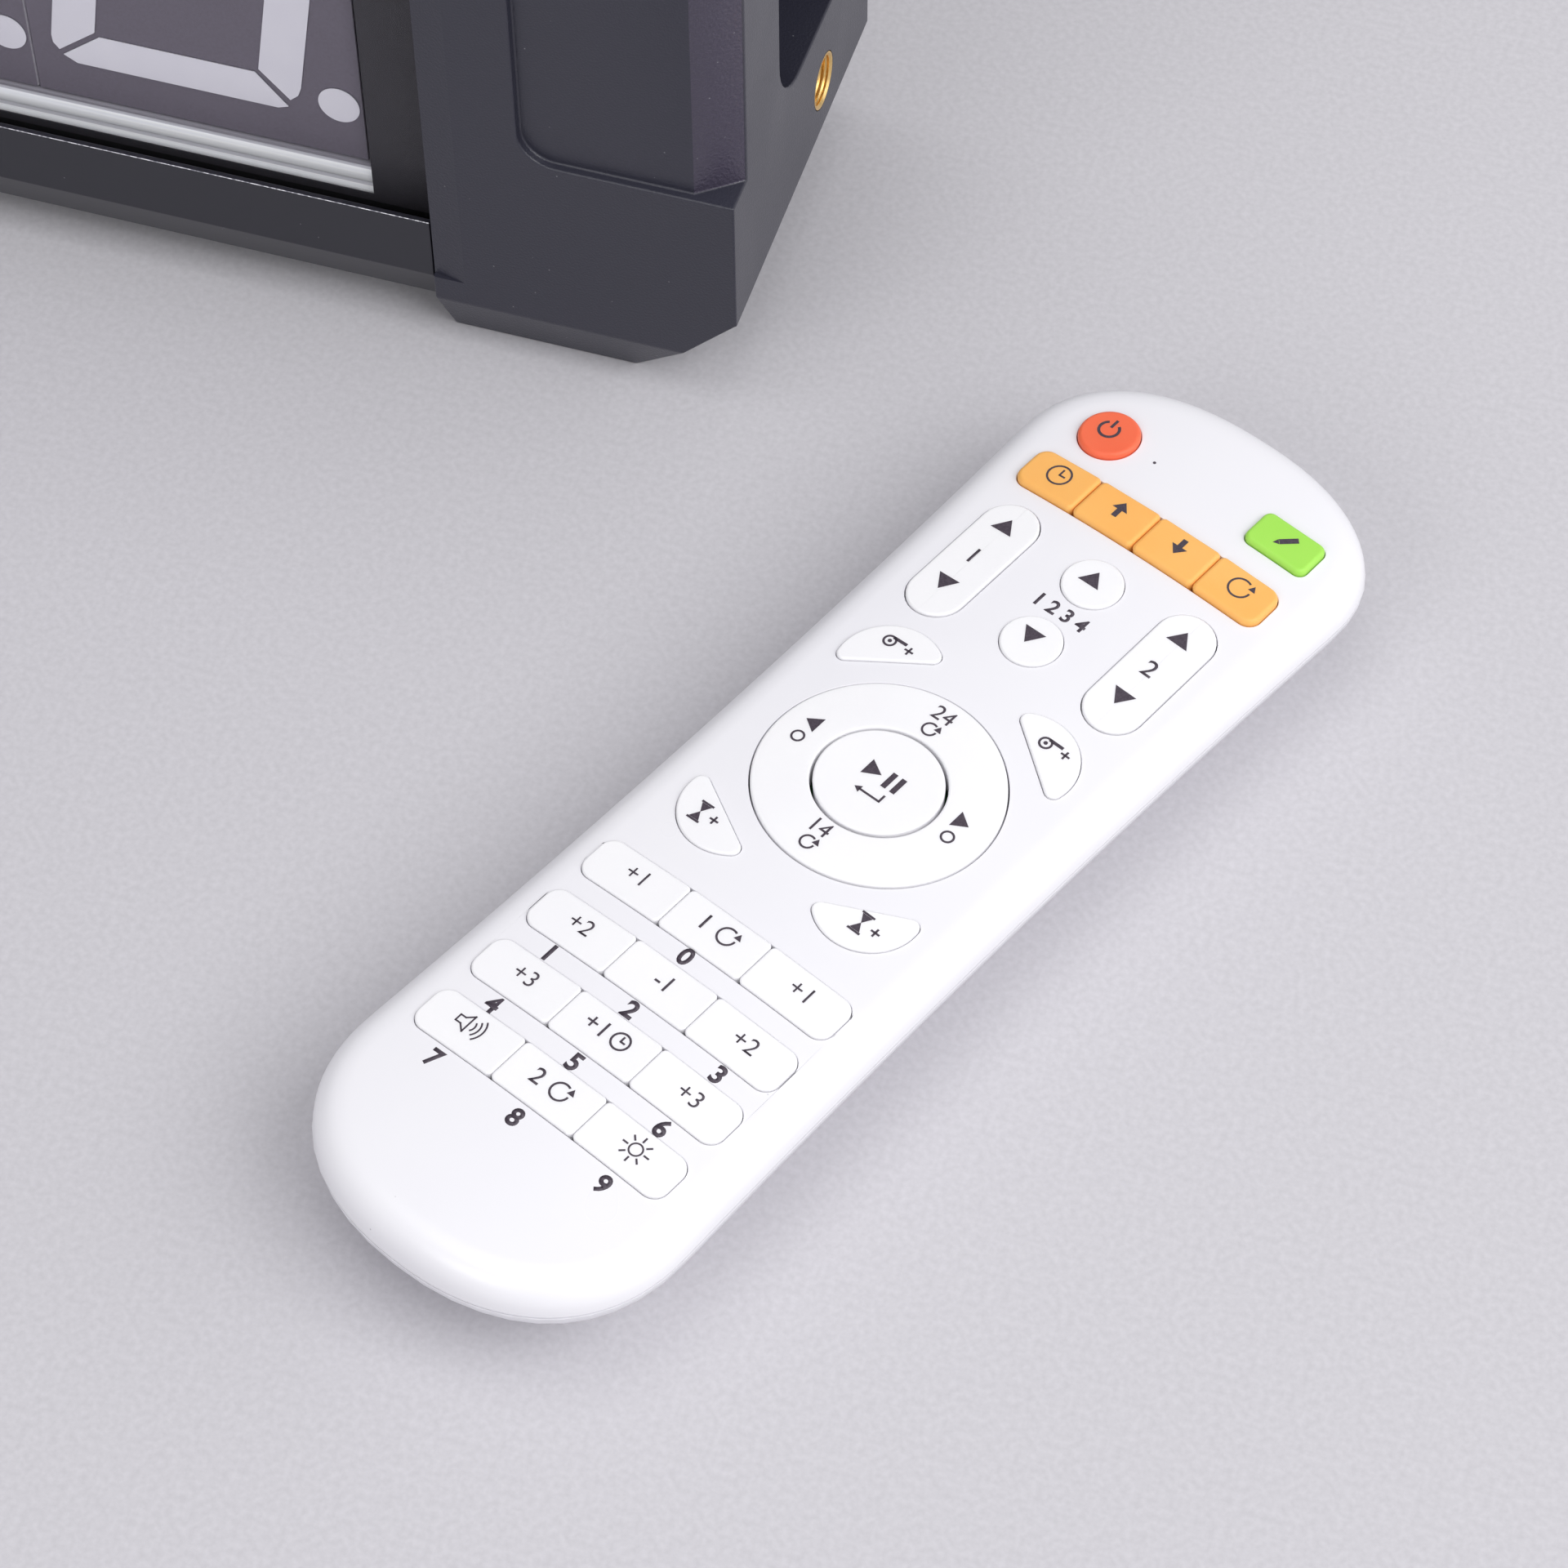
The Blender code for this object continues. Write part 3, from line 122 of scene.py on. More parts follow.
def add_grain(tree, shader, place, size, detail=2.0, shades=None, low=0.3, gloss=None, relief=0.0,
              strength=1.0):
    """Soft grains of a real size. They turn the colour from one shade to the other, change the
    roughness between two values, and raise the surface. Returns the colour's socket."""
    noise = add_node(tree, "ShaderNodeTexNoise", {"Scale": 1 / size, "Detail": detail},
                     {"Vector": place}).outputs["Fac"]
    tint = None
    if shades:
        share = add_node(tree, "ShaderNodeMapRange", {"From Min": low, "From Max": 1.0 - low},
                         {"Value": noise})
        pair = {"data_type": "RGBA", 6: linear(shades[0]), 7: linear(shades[1])}
        tint = add_node(tree, "ShaderNodeMix", pair, {0: share.outputs["Result"]}).outputs[2]
        tree.links.new(tint, shader.inputs["Base Color"])
    if gloss:
        ends = {"From Min": 0.3, "From Max": 0.7, "To Min": gloss[0], "To Max": gloss[1]}
        level = add_node(tree, "ShaderNodeMapRange", ends, {"Value": noise})
        tree.links.new(level.outputs["Result"], shader.inputs["Roughness"])
    if relief:
        bump = add_node(tree, "ShaderNodeBump", {"Strength": strength, "Distance": relief},
                        {"Height": noise})
        tree.links.new(bump.outputs["Normal"], shader.inputs["Normal"])
    return tint


paper, tree, shader, place = start_material("matte_backdrop_paper", PAPER_COLOUR, 0.85)
add_grain(tree, shader, place, PULP_GRAIN, 4.0, PAPER_SHADES, relief=PULP_HEIGHT, strength=0.4)

bpy.ops.mesh.primitive_plane_add(size=PAPER_SIZE, location=(0.0, 0.0, -PAPER_DROP))
table = bpy.context.object
table.name = "table_paper"
table.data.materials.append(paper)


# Light
# A broad soft box stands to the right, with a smaller low one under it for the caps' sides. A
# third one hangs overhead, a fourth one faces the display, and the pale room fills the rest.

ROOM_COLOUR = "EDEDF0"
ROOM_STRENGTH = 0.5
SOFT_BOXES = (
    ("right_soft_box", (1.25, -0.4, 1.2), 1.2, 14.6),
    ("low_soft_box", (1.15, 0.3, 0.35), 0.9, 2.2),
    ("overhead_soft_box", (0.0, -0.1, 1.7), 1.2, 6.0),
    ("front_soft_box", (-0.36, -1.5, 1.1), 0.9, 7.0),
)

world = bpy.data.worlds.new("pale_room")
world.use_nodes = True
room = world.node_tree.nodes["Background"]
room.inputs["Color"].default_value = linear(ROOM_COLOUR)
room.inputs["Strength"].default_value = ROOM_STRENGTH
bpy.context.scene.world = world
for name, spot, size, power in SOFT_BOXES:
    bpy.ops.object.light_add(type="AREA", location=spot)
    lamp = bpy.context.object
    lamp.name = name
    lamp.data.size = size
    lamp.data.energy = power
    lamp.rotation_euler = (-lamp.location).to_track_quat("-Z", "Y").to_euler()


# End caps
# Injection-moulded black ABS. The mould was spark-eroded, which leaves a fine even grain, and
# the long facet beside the thumb panel has a coarser one. The facet is also painted lighter and
# purplish, as a painted sheen. Each cap closes one end of the case.

OPENING = 441.8            # between the caps' inner faces
CAP_WIDTH = 43.1
BOARD_HEIGHT = 200.0
CAP_EDGE_RADIUS = 0.3
FACET_START = 37.3         # where the long facet leaves the thumb panel
PANEL_DEPTH = 1.3
FACET_WIDTH = 6.5          # at most, from the cap's outer side
LEDGE_WIDTH = 4.7
LEDGE_HEIGHT = 12.0        # where the inner bevel starts, from the foot and from the top
LEDGE_DEPTH = 0.9
FRONT_EDGE = 4.6           # where the inner bevel meets the front
HOLLOW_WIDTH = 12.3        # the pocket that the rails enter, from the cap's inner face
HOLLOW_DEPTHS = (2.9, 57.1)
HOLLOW_FLOOR = 3.5
POST_WIDTH = 35.0          # the hollow behind the thumb panel
POST_BACK = 17.1
BORE_RADIUS = 4.6
INSERT_Y = 39.0
INSERT_Z = 24.6
CREASE = math.radians(14.0)
MERGE = 0.005              # loose corners of a CAD mesh closer than this become one
FLAT = math.radians(0.4)   # faces that meet at less than this become one
NEAR = 0.1
ABS_GRAIN = 0.32 * MM
ABS_RELIEF = 0.06 * MM
FACET_GRAIN = 0.45 * MM
FACET_RELIEF = 0.18 * MM
GLOSS_PATCH = 18 * MM
GLOSS_SPREAD = 0.03
DUST_CELL = 2.9 * MM       # one speck in each cube of this size, so few lie on the surface
DUST_SIZE = 0.13 * MM

cap_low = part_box("end_cap_left")[0]
cap_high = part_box("end_cap_right")[1]
board_middle = ((cap_low.x + cap_high.x) / 2, cap_low.y, 0.0)
board_place = Matrix.Translation(board_middle) @ Matrix.Scale(MM, 4)


def pick(*chosen):
    """Select these objects and no others, and make the first one active."""
    bpy.ops.object.select_all(action="DESELECT")
    for obj in chosen:
        obj.select_set(True)
    bpy.context.view_layer.objects.active = chosen[0]


def edit_all(obj):
    """Open a mesh for editing, with all of it selected."""
    pick(obj)
    bpy.ops.object.mode_set(mode="EDIT")
    bpy.ops.mesh.select_all(action="SELECT")


def coat(obj, *materials):
    """Give an object its materials. The first one covers it all."""
    for material in materials:
        obj.data.materials.append(material)


def new_object(name, mesh):
    """Bring a mesh into the scene."""
    obj = bpy.data.objects.new(name, mesh)
    bpy.context.scene.collection.objects.link(obj)
    return obj


def cad_copy(node, place):
    """A copy of a CAD node's shape, merged from its loose triangles, in a unit's own frame."""
    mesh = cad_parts[node].data.copy()
    mesh.materials.clear()
    mesh.transform(place.inverted())
    obj = new_object(node + "_copy", mesh)
    pick(obj)
    if mesh.has_custom_normals:
        bpy.ops.mesh.customdata_custom_splitnormals_clear()
    edit_all(obj)
    bpy.ops.mesh.remove_doubles(threshold=MERGE)
    bpy.ops.mesh.mark_sharp(clear=True)
    bpy.ops.mesh.dissolve_limited(angle_limit=FLAT)
    bpy.ops.object.mode_set(mode="OBJECT")
    return obj


def round_edges(obj, width, judge, segments=2):
    """Bevel the edges that the judge calls round, and keep those that it calls crease sharp."""
    pick(obj)
    bpy.ops.object.mode_set(mode="EDIT")
    bpy.ops.mesh.select_mode(type="EDGE")
    bpy.ops.mesh.select_all(action="DESELECT")
    bm = bmesh.from_edit_mesh(obj.data)
    found = 0
    for edge in bm.edges:
        if len(edge.link_faces) != 2:
            continue
        verdict = judge(edge.verts[0].co, edge.verts[1].co, edge.calc_face_angle(0.0))
        edge.smooth = verdict != "crease"
        edge.select_set(verdict == "round")
        found += verdict == "round"
    bm.select_flush_mode()
    bmesh.update_edit_mesh(obj.data)
    if found:
        bpy.ops.mesh.bevel(offset=width, segments=segments, affect="EDGES")
    bpy.ops.object.mode_set(mode="OBJECT")


def weigh_normals(obj):
    """Smooth the shading, with flat faces kept flat up to their rounded edges."""
    pick(obj)
    bpy.ops.object.shade_smooth()
    modifier = obj.modifiers.new("normals", "WEIGHTED_NORMAL")
    modifier.keep_sharp = True
    bpy.ops.object.modifier_apply(modifier=modifier.name)


def settle(obj, name, place, body, slot, *nodes):
    """Put a finished piece in its place, hand it to its body, and let it stand for its nodes."""
    obj.name = name
    obj.data.name = name
    obj.data.transform(place)
    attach(obj, body)
    if nodes:
        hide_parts(*nodes)


def add_dust(tree, shader, place, colour, share=0.55, cell=DUST_CELL, size=DUST_SIZE, dust="C8C8CE"):
    """A base colour, in hex or as a socket, with a few small specks of dust on it."""
    cells = add_node(tree, "ShaderNodeTexVoronoi", {"Scale": 1 / cell}, {"Vector": place})
    ends = {"From Min": 0.0, "From Max": size / cell, "To Min": share, "To Max": 0.0}
    speck = add_node(tree, "ShaderNodeMapRange", ends, {"Value": cells.outputs["Distance"]})
    mix = add_node(tree, "ShaderNodeMix", {"data_type": "RGBA", 7: linear(dust)},
                   {0: speck.outputs["Result"]})
    if isinstance(colour, str):
        mix.inputs[6].default_value = linear(colour)
    else:
        tree.links.new(colour, mix.inputs[6])
    tree.links.new(mix.outputs[2], shader.inputs["Base Color"])


def moulded_black(name, colour, roughness, grain, relief):
    """Black moulded plastic with an eroded grain, a soft change of gloss and a little dust."""
    material, tree, shader, place = start_material(name, colour, roughness, ior=1.54)
    gloss = (roughness - GLOSS_SPREAD, roughness + GLOSS_SPREAD)
    add_grain(tree, shader, place, GLOSS_PATCH, gloss=gloss)
    add_grain(tree, shader, place, grain, relief=relief)
    add_dust(tree, shader, place, colour)
    return material


black_abs = moulded_black("grained_black_abs", "2F2F3B", 0.32, ABS_GRAIN, ABS_RELIEF)
# Lighter and purplish than the rest of the cap: a painted sheen on the facet, over its coarser grain.
facet_abs_painted_sheen = moulded_black("coarse_black_abs_painted_sheen", "454050", 0.27, FACET_GRAIN, FACET_RELIEF)


def judge_cap(a, b, angle):
    """The insides and the facet's edges stay sharp, and the rest of the edges is rounded."""
    ends = [(abs(p.x) - OPENING / 2, p.y, min(p.z, BOARD_HEIGHT - p.z)) for p in (a, b)]
    if all(abs(x - FRONT_EDGE) < NEAR / 2 and y < NEAR for x, y, z in ends):
        return "crease"
    if angle < CREASE:
        return None
    front, back = HOLLOW_DEPTHS
    ledge = all(x < LEDGE_WIDTH and y < LEDGE_DEPTH and abs(z - LEDGE_HEIGHT) < NEAR
                for x, y, z in ends)
    hollow = all(x < HOLLOW_WIDTH and front < y < back and z > HOLLOW_FLOOR for x, y, z in ends)
    post = all(x < POST_WIDTH and front < y < POST_BACK and z > HOLLOW_FLOOR for x, y, z in ends)
    bore = all(math.hypot(p.y - INSERT_Y, p.z - INSERT_Z) < BORE_RADIUS for p in (a, b))
    facet = all(abs(x - FACET_START) < NEAR and abs(y - PANEL_DEPTH) < NEAR for x, y, z in ends)
    return "crease" if ledge or hollow or post or bore or facet else "round"


for word in ("left", "right"):
    cap = cad_copy("end_cap_" + word, board_place)
    round_edges(cap, CAP_EDGE_RADIUS, judge_cap)
    weigh_normals(cap)
    coat(cap, black_abs, facet_abs_painted_sheen)
    # The facet's faces get the lighter material with the painted sheen.
    for face in cap.data.polygons:
        tilted = 0.4 < abs(face.normal.x) < 0.75 and face.normal.y < -0.5
        if tilted and abs(face.center.x) > OPENING / 2 + CAP_WIDTH - FACET_WIDTH:
            face.material_index = 1
    settle(cap, word + "_end_cap_moulding", board_place, "scoreboard", "black_abs", "end_cap_" + word)


# Threaded inserts
# Knurled brass, turned and tapped, pressed into the caps' sides for a bracket's screws. Only
# the flat mouth and the thread show.

INSERT_RADIUS = 4.1
THREAD_CREST = 3.55
THREAD_ROOT = 3.75
THREAD_PITCH = 0.7
THREAD_FLAT = 0.1
THREAD_TURNS = 16
INSERT_LENGTH = 12.0
MOUTH_CHAMFER = 0.3
TURNING_GRAIN = 0.5 * MM
SPIN_MERGE = 0.0005


def spin_profile(points, steps):
    """Turn a closed profile of (radius, height) about the Z axis."""
    bpy.ops.mesh.primitive_circle_add(vertices=len(points), fill_type="NOTHING")
    obj = bpy.context.object
    for vert, (radius, height) in zip(obj.data.vertices, points):
        vert.co = (radius, 0.0, height)
    edit_all(obj)
    bpy.ops.mesh.spin(steps=steps, angle=math.tau, center=(0.0, 0.0, 0.0), axis=(0.0, 0.0, 1.0))
    bpy.ops.mesh.select_all(action="SELECT")
    bpy.ops.mesh.remove_doubles(threshold=SPIN_MERGE)
    bpy.ops.mesh.normals_make_consistent(inside=False)
    bpy.ops.object.mode_set(mode="OBJECT")
    return obj


def smooth_below(obj, degrees=30.0):
    """Smooth the shading over the edges that are blunter than an angle."""
    pick(obj)
    bpy.ops.object.shade_smooth_by_angle(angle=math.radians(degrees))


brass, tree, shader, place = start_material("turned_brass", "F2CC84", 0.34, metallic=1.0)
add_grain(tree, shader, place, TURNING_GRAIN, 3.0, ("EEC67C", "F8D694"), gloss=(0.28, 0.42))

for side, word in ((-1, "left"), (1, "right")):
    profile = [(INSERT_RADIUS, 0.0), (INSERT_RADIUS, -INSERT_LENGTH), (THREAD_CREST, -INSERT_LENGTH)]
    for k in range(THREAD_TURNS, 0, -1):
        level = -MOUTH_CHAMFER - k * THREAD_PITCH
        profile += [(THREAD_CREST, level + THREAD_FLAT), (THREAD_ROOT, level + THREAD_PITCH / 2),
                    (THREAD_CREST, level + THREAD_PITCH - THREAD_FLAT)]
    profile += [(THREAD_CREST, -MOUTH_CHAMFER), (THREAD_CREST + MOUTH_CHAMFER, 0.0)]
    insert = spin_profile(profile, 48)
    smooth_below(insert)
    mouth = Matrix.Translation((side * (OPENING / 2 + CAP_WIDTH), INSERT_Y, INSERT_Z))
    insert.data.transform(mouth @ Matrix.Rotation(side * math.pi / 2, 4, "Y"))
    coat(insert, brass)
    settle(insert, word + "_threaded_insert", board_place, "scoreboard", "brass",
           "threaded_insert_" + word)


# Rails
# Extruded aluminium, anodised black, sawn to length and held between the caps. The die leaves
# faint lines along the length. The lip's edge is painted bright metal, as wear and as a painted
# highlight.

DIE_LINE = 0.5 * MM
DIE_LENGTH = 90 * MM
DIE_RELIEF = 0.002 * MM
RAIL_EDGE_RADIUS = 0.15
RAIL_FRONT = 1.0
LIP_TOP = 21.0
BRIGHT_EDGE_WIDTH = 0.25


def mottled(name, colour, shades, grain, detail=2.0, low=0.3, bump=0.0, **values):
    """A material whose colour wavers between two shades, with a low relief where it has one."""
    material, tree, shader, place = start_material(name, colour, **values)
    add_grain(tree, shader, place, grain, detail, shades, low, relief=bump)
    return material


anodised, tree, shader, place = start_material("black_anodised_aluminium", "26262F", 0.29)
stretch = {"Scale": (1 / DIE_LENGTH, 1 / DIE_LINE, 1 / DIE_LINE)}
lines = add_node(tree, "ShaderNodeMapping", stretch, {"Vector": place}).outputs["Vector"]
add_grain(tree, shader, lines, 1.0, 3.0, gloss=(0.28, 0.3), relief=DIE_RELIEF)
add_dust(tree, shader, place, "27272F", 0.4)
# Bare bright metal for the lip's edge: wear, and a painted highlight.
worn_and_highlit = mottled("worn_bare_aluminium_painted_highlight", "C9CAD2", ("8A8A94", "FAFAFF"), DIE_LINE, 3.0, 0.4,
               roughness=0.35, metallic=1.0)


def judge_box(a, b, angle):
    """Every edge of some angle is rounded."""
    return "round" if angle > CREASE else None


for word in ("bottom", "top"):
    rail = cad_copy(word + "_rail", board_place)
    round_edges(rail, RAIL_EDGE_RADIUS, judge_box)
    weigh_normals(rail)
    coat(rail, anodised, worn_and_highlit)
    # The lip's front edge gets the bright metal: wear and a painted highlight along the edge.
    for face in rail.data.polygons:
        level = min(face.center.z, BOARD_HEIGHT - face.center.z)
        near_edge = face.center.y < RAIL_FRONT + BRIGHT_EDGE_WIDTH and level > LIP_TOP - BRIGHT_EDGE_WIDTH
        if near_edge and face.normal.y < -0.25 and abs(face.normal.z) > 0.6:
            face.material_index = 1
    settle(rail, word + "_rail_extrusion", board_place, "scoreboard", "black_anodised", word + "_rail")


# Ribbed module rail
# Bright drawn aluminium under the lower row of digits. A wheel polished the crests of its two
# ribs, which catch the light as long soft streaks. The hollows between them are rougher, and their
# colour is painted darker as shade. The strip over them is rougher and a darker grey.

STREAK_WIDTH = 0.35 * MM
STREAK_LENGTH = 45 * MM
STREAK_RELIEF = 0.02 * MM
STRIP_LOW = 23.1           # the flat strip's lower edge, over the ribs
PAINTED_SHADE_DEPTH = 6.85        # what lies deeper than this is rougher and painted darker as shade


def drawn_aluminium(name, colour, shade, roughness):
    """Aluminium with the soft lengthways streaks that a drawing die leaves."""
    material, tree, shader, place = start_material(name, colour, roughness, metallic=0.25)
    stretch = {"Scale": (1 / STREAK_LENGTH, 1 / STREAK_WIDTH, 1 / STREAK_WIDTH)}
    lines = add_node(tree, "ShaderNodeMapping", stretch, {"Vector": place}).outputs["Vector"]
    gloss = (roughness - 0.06, roughness + 0.08)
    add_grain(tree, shader, lines, 1.0, 4.0, (shade, colour), 0.35, gloss, STREAK_RELIEF)
    return material


bright = drawn_aluminium("bright_drawn_aluminium", "FCFDFF", "F2F4FB", 0.38)
# A darker copy of the aluminium: painted shade for the hollows between the ribs.
hollow_satin_shade = drawn_aluminium("satin_drawn_aluminium_painted_shade", "D6D6DE", "C6C6D0", 0.46)
dull = drawn_aluminium("dull_drawn_aluminium", "B2AFBA", "A4A1AC", 0.52)

ribs = cad_copy("module_rail", board_place)
smooth_below(ribs)
coat(ribs, bright, hollow_satin_shade, dull)
# Faces deep in the hollows get the darker copy, which is painted shade.
for face in ribs.data.polygons:
    if face.center.z > STRIP_LOW:
        face.material_index = 2
    elif face.center.y > PAINTED_SHADE_DEPTH:
        face.material_index = 1
settle(ribs, "ribbed_module_rail", board_place, "scoreboard", "bright_aluminium", "module_rail")


# Digit modules
# Seven-segment modules: a grey painted face with slanted segments of milky epoxy, which look
# pale lavender while they are off. The modules of one number stand side by side.

MODULE_WIDTH = 48.0
MODULE_HEIGHT = 69.8
MODULE_FACE = 7.0
COLON_STRIP = 12.0
SLANT = 0.168              # sideways for each millimetre up
DIGIT_LEFT = 1.6
DIGIT_RIGHT = 37.5
DIGIT_MIDDLE_X = (DIGIT_LEFT + DIGIT_RIGHT) / 2
DIGIT_MIDDLE_Z = MODULE_HEIGHT / 2
SEGMENT_PROUD = 0.2
BANK_EDGE_RADIUS = 0.12
GROOVE_DEPTHS = (0.13, 0.5)     # of the joints between the modules, from the face
POINT_PLACE = (44.6, 9.4)
POINT_RADIUS = 2.95
POINT_STEPS = 32
COLON_LEVELS = (24.0, 46.0)
LOWER_ROW = 24.0
UPPER_ROW = 106.2
SEGMENT_LOW = ((5.6, 6.5), (34.6, 6.5), (36.0, 7.1), (30.8, 12.2), (8.5, 12.2), (3.5, 7.6))
SEGMENT_LEFT = (
    (2.9, 8.4), (7.8, 12.9), (7.8, 31.4), (4.75, 34.3), (1.6, 34.3), (1.6, 10.9), (1.9, 9.5),
)
SEGMENT_MIDDLE = (
    (5.3, 34.9), (8.3, 32.05), (31.0, 32.05), (33.9, 34.9), (31.0, 37.75), (8.3, 37.75),
)
BANKS = (
    ("home_score_digits", -210.0, UPPER_ROW, "dd"),
    ("game_clock_digits", -102.0, UPPER_ROW, "dd:dd"),
    ("guest_score_digits", 114.0, UPPER_ROW, "dd"),
    ("home_foul_digits", -210.0, LOWER_ROW, "dd"),
    ("period_digit", -102.0, LOWER_ROW, "d"),
    ("shot_clock_digits", 6.0, LOWER_ROW, "dd"),
    ("guest_foul_digits", 114.0, LOWER_ROW, "dd"),
)

face_paint = mottled("grey_module_paint", "746E7B", ("706A76", "787280"), 0.4 * MM, 3.0,
                     bump=0.01 * MM, roughness=0.5)
bare_edge = mottled("bare_grey_module_plastic", "A9A6AE", ("A09DA6", "B2AFB7"), 0.6 * MM, roughness=0.5)
milky = mottled("milky_epoxy", "F4F2FD", ("F2F0FB", "F6F4FE"), 6 * MM, roughness=0.38, ior=1.52)


def thicken_sheet(way):
    """Give the sheet that is open for editing a thickness, and close the editing."""
    bpy.ops.mesh.select_all(action="SELECT")
    bpy.ops.mesh.extrude_region_move(TRANSFORM_OT_translate={"value": way})
    bpy.ops.mesh.select_all(action="SELECT")
    bpy.ops.mesh.normals_make_consistent(inside=False)
    bpy.ops.object.mode_set(mode="OBJECT")


def flat_shape(points, thickness=0.0):
    """A plate of an outline in the XY plane, from Z = 0 up to its thickness."""
    bpy.ops.object.select_all(action="DESELECT")
    bpy.ops.mesh.primitive_circle_add(vertices=len(points), fill_type="NGON")
    obj = bpy.context.object
    area = sum(a[0] * b[1] - b[0] * a[1] for a, b in zip(points, [*points[1:], points[0]]))
    ordered = points if area > 0 else points[::-1]
    loop = [obj.data.loops[k].vertex_index for k in obj.data.polygons[0].loop_indices]
    for index, (x, y) in zip(loop, ordered):
        obj.data.vertices[index].co = (x, y, 0.0)
    if thickness:
        edit_all(obj)
        thicken_sheet((0.0, 0.0, thickness))
    return obj


def circle_points(radius, steps, x=0.0, y=0.0, radius_y=None):
    """A circle round a point, or an ellipse where it has a second radius."""
    tall = radius if radius_y is None else radius_y
    turns = [math.tau * k / steps for k in range(steps)]
    return [(x + radius * math.cos(t), y + tall * math.sin(t)) for t in turns]


def join(objs):
    """Join objects into the first one."""
    pick(*objs)
    if len(objs) > 1:
        bpy.ops.object.join()
    return bpy.context.view_layer.objects.active


def copy_of(obj, name):
    """A copy with a mesh of its own."""
    return new_object(name, obj.data.copy())


def mirrored(points, across, up):
    """An outline mirrored about the digit's middle."""
    return [(2 * DIGIT_MIDDLE_X - x if across else x, 2 * DIGIT_MIDDLE_Z - z if up else z)
            for x, z in points]


outlines = [SEGMENT_LOW, mirrored(SEGMENT_LOW, False, True), SEGMENT_MIDDLE]
outlines += [mirrored(SEGMENT_LEFT, across, up) for across in (False, True) for up in (False, True)]
shapes = [flat_shape([(x + SLANT * z, z) for x, z in outline], SEGMENT_PROUD) for outline in outlines]
shapes.append(flat_shape(circle_points(POINT_RADIUS, POINT_STEPS, *POINT_PLACE), SEGMENT_PROUD))
digit = join(shapes)
dots = [circle_points(POINT_RADIUS, POINT_STEPS, COLON_STRIP / 2, level) for level in COLON_LEVELS]
colon = join([flat_shape(outline, SEGMENT_PROUD) for outline in dots])
coat(digit, milky)
coat(colon, milky)
upright = Matrix.Rotation(math.pi / 2, 4, "X")

for name, left, bottom, signs in BANKS:
    bank = cad_copy(name, board_place)
    coat(bank, face_paint, bare_edge)
    round_edges(bank, BANK_EDGE_RADIUS, judge_box, 1)
    for face in bank.data.polygons:
        sunk = GROOVE_DEPTHS[0] < face.center.y - MODULE_FACE < GROOVE_DEPTHS[1]
        face.material_index = int(sunk and abs(face.normal.x) > 0.3)
    parts = [bank]
    for sign in signs:
        part = copy_of(digit if sign == "d" else colon, name + "_segments")
        part.data.transform(Matrix.Translation((left, MODULE_FACE, bottom)) @ upright)
        parts.append(part)
        left += MODULE_WIDTH if sign == "d" else COLON_STRIP
    bank = join(parts)
    weigh_normals(bank)
    settle(bank, name + "_modules", board_place, "scoreboard", "digit_face", name)
for stamp in (digit, colon):
    bpy.data.objects.remove(stamp)


# Printed mask
# Black paint on the back of the window frames each number and hides the joints between the
# modules' banks, the boards and the rails. Along its foot it is painted near black, as the shadow
# behind the rails' lip.

MASK_FRONT = 5.75
MASK_THICKNESS = 0.15
MASK_SIDE = OPENING / 2 - 0.5
MASK_MARGIN = 0.8
RIB_VIEW = 19.1            # up to here the mask covers the foot of the bright ribs
PAINTED_SHADOW_TOP = 17.8           # up to here the print is painted near black, as the shadow behind the lip
MASK_LOW = 13.0
MASK_COLUMNS = (-210.0, -114.0, -102.0, -54.0, 6.0, 102.0, 114.0, 210.0)
PRINT_GRAIN = 0.8 * MM

mask_paint = mottled("black_screen_print", "38363C", ("36343A", "3B393F"), PRINT_GRAIN, roughness=0.55)
# Near black: the painted shadow behind the rails' lip.
painted_shadow = mottled("black_print_painted_shadow", "08080A", ("070709", "0A0A0C"), PRINT_GRAIN,
                      roughness=0.6)

edges = [x + (MASK_MARGIN if k % 2 else -MASK_MARGIN) for k, x in enumerate(MASK_COLUMNS)]
columns = [-MASK_SIDE, *edges, MASK_SIDE]
rows = [MASK_LOW, PAINTED_SHADOW_TOP, RIB_VIEW, LOWER_ROW + MODULE_HEIGHT + MASK_MARGIN,
        UPPER_ROW - MASK_MARGIN, UPPER_ROW + MODULE_HEIGHT + MASK_MARGIN, BOARD_HEIGHT - MASK_LOW]
bpy.ops.mesh.primitive_grid_add(x_subdivisions=len(columns) - 1, y_subdivisions=len(rows) - 1,
                                size=2.0)
mask = bpy.context.object
for k, vert in enumerate(mask.data.vertices):
    vert.co = (columns[k % len(columns)], MASK_FRONT, rows[k // len(columns)])
bpy.ops.object.mode_set(mode="EDIT")
bpy.ops.mesh.select_mode(type="FACE")
bpy.ops.mesh.select_all(action="DESELECT")
bm = bmesh.from_edit_mesh(mask.data)
for face in bm.faces:
    middle = face.calc_center_median()
    lower = rows[2] < middle.z < rows[3]
    upper = rows[4] < middle.z < rows[5]
    in_side = edges[0] < middle.x < edges[1] or edges[6] < middle.x < edges[7]
    in_clock = edges[2] < middle.x < edges[5]
    in_low_clock = edges[2] < middle.x < edges[3] or edges[4] < middle.x < edges[5]
    face.select_set(lower and (in_side or in_low_clock) or upper and (in_side or in_clock))
bmesh.update_edit_mesh(mask.data)
bpy.ops.mesh.delete(type="FACE")
thicken_sheet((0.0, MASK_THICKNESS, 0.0))
coat(mask, mask_paint, painted_shadow)
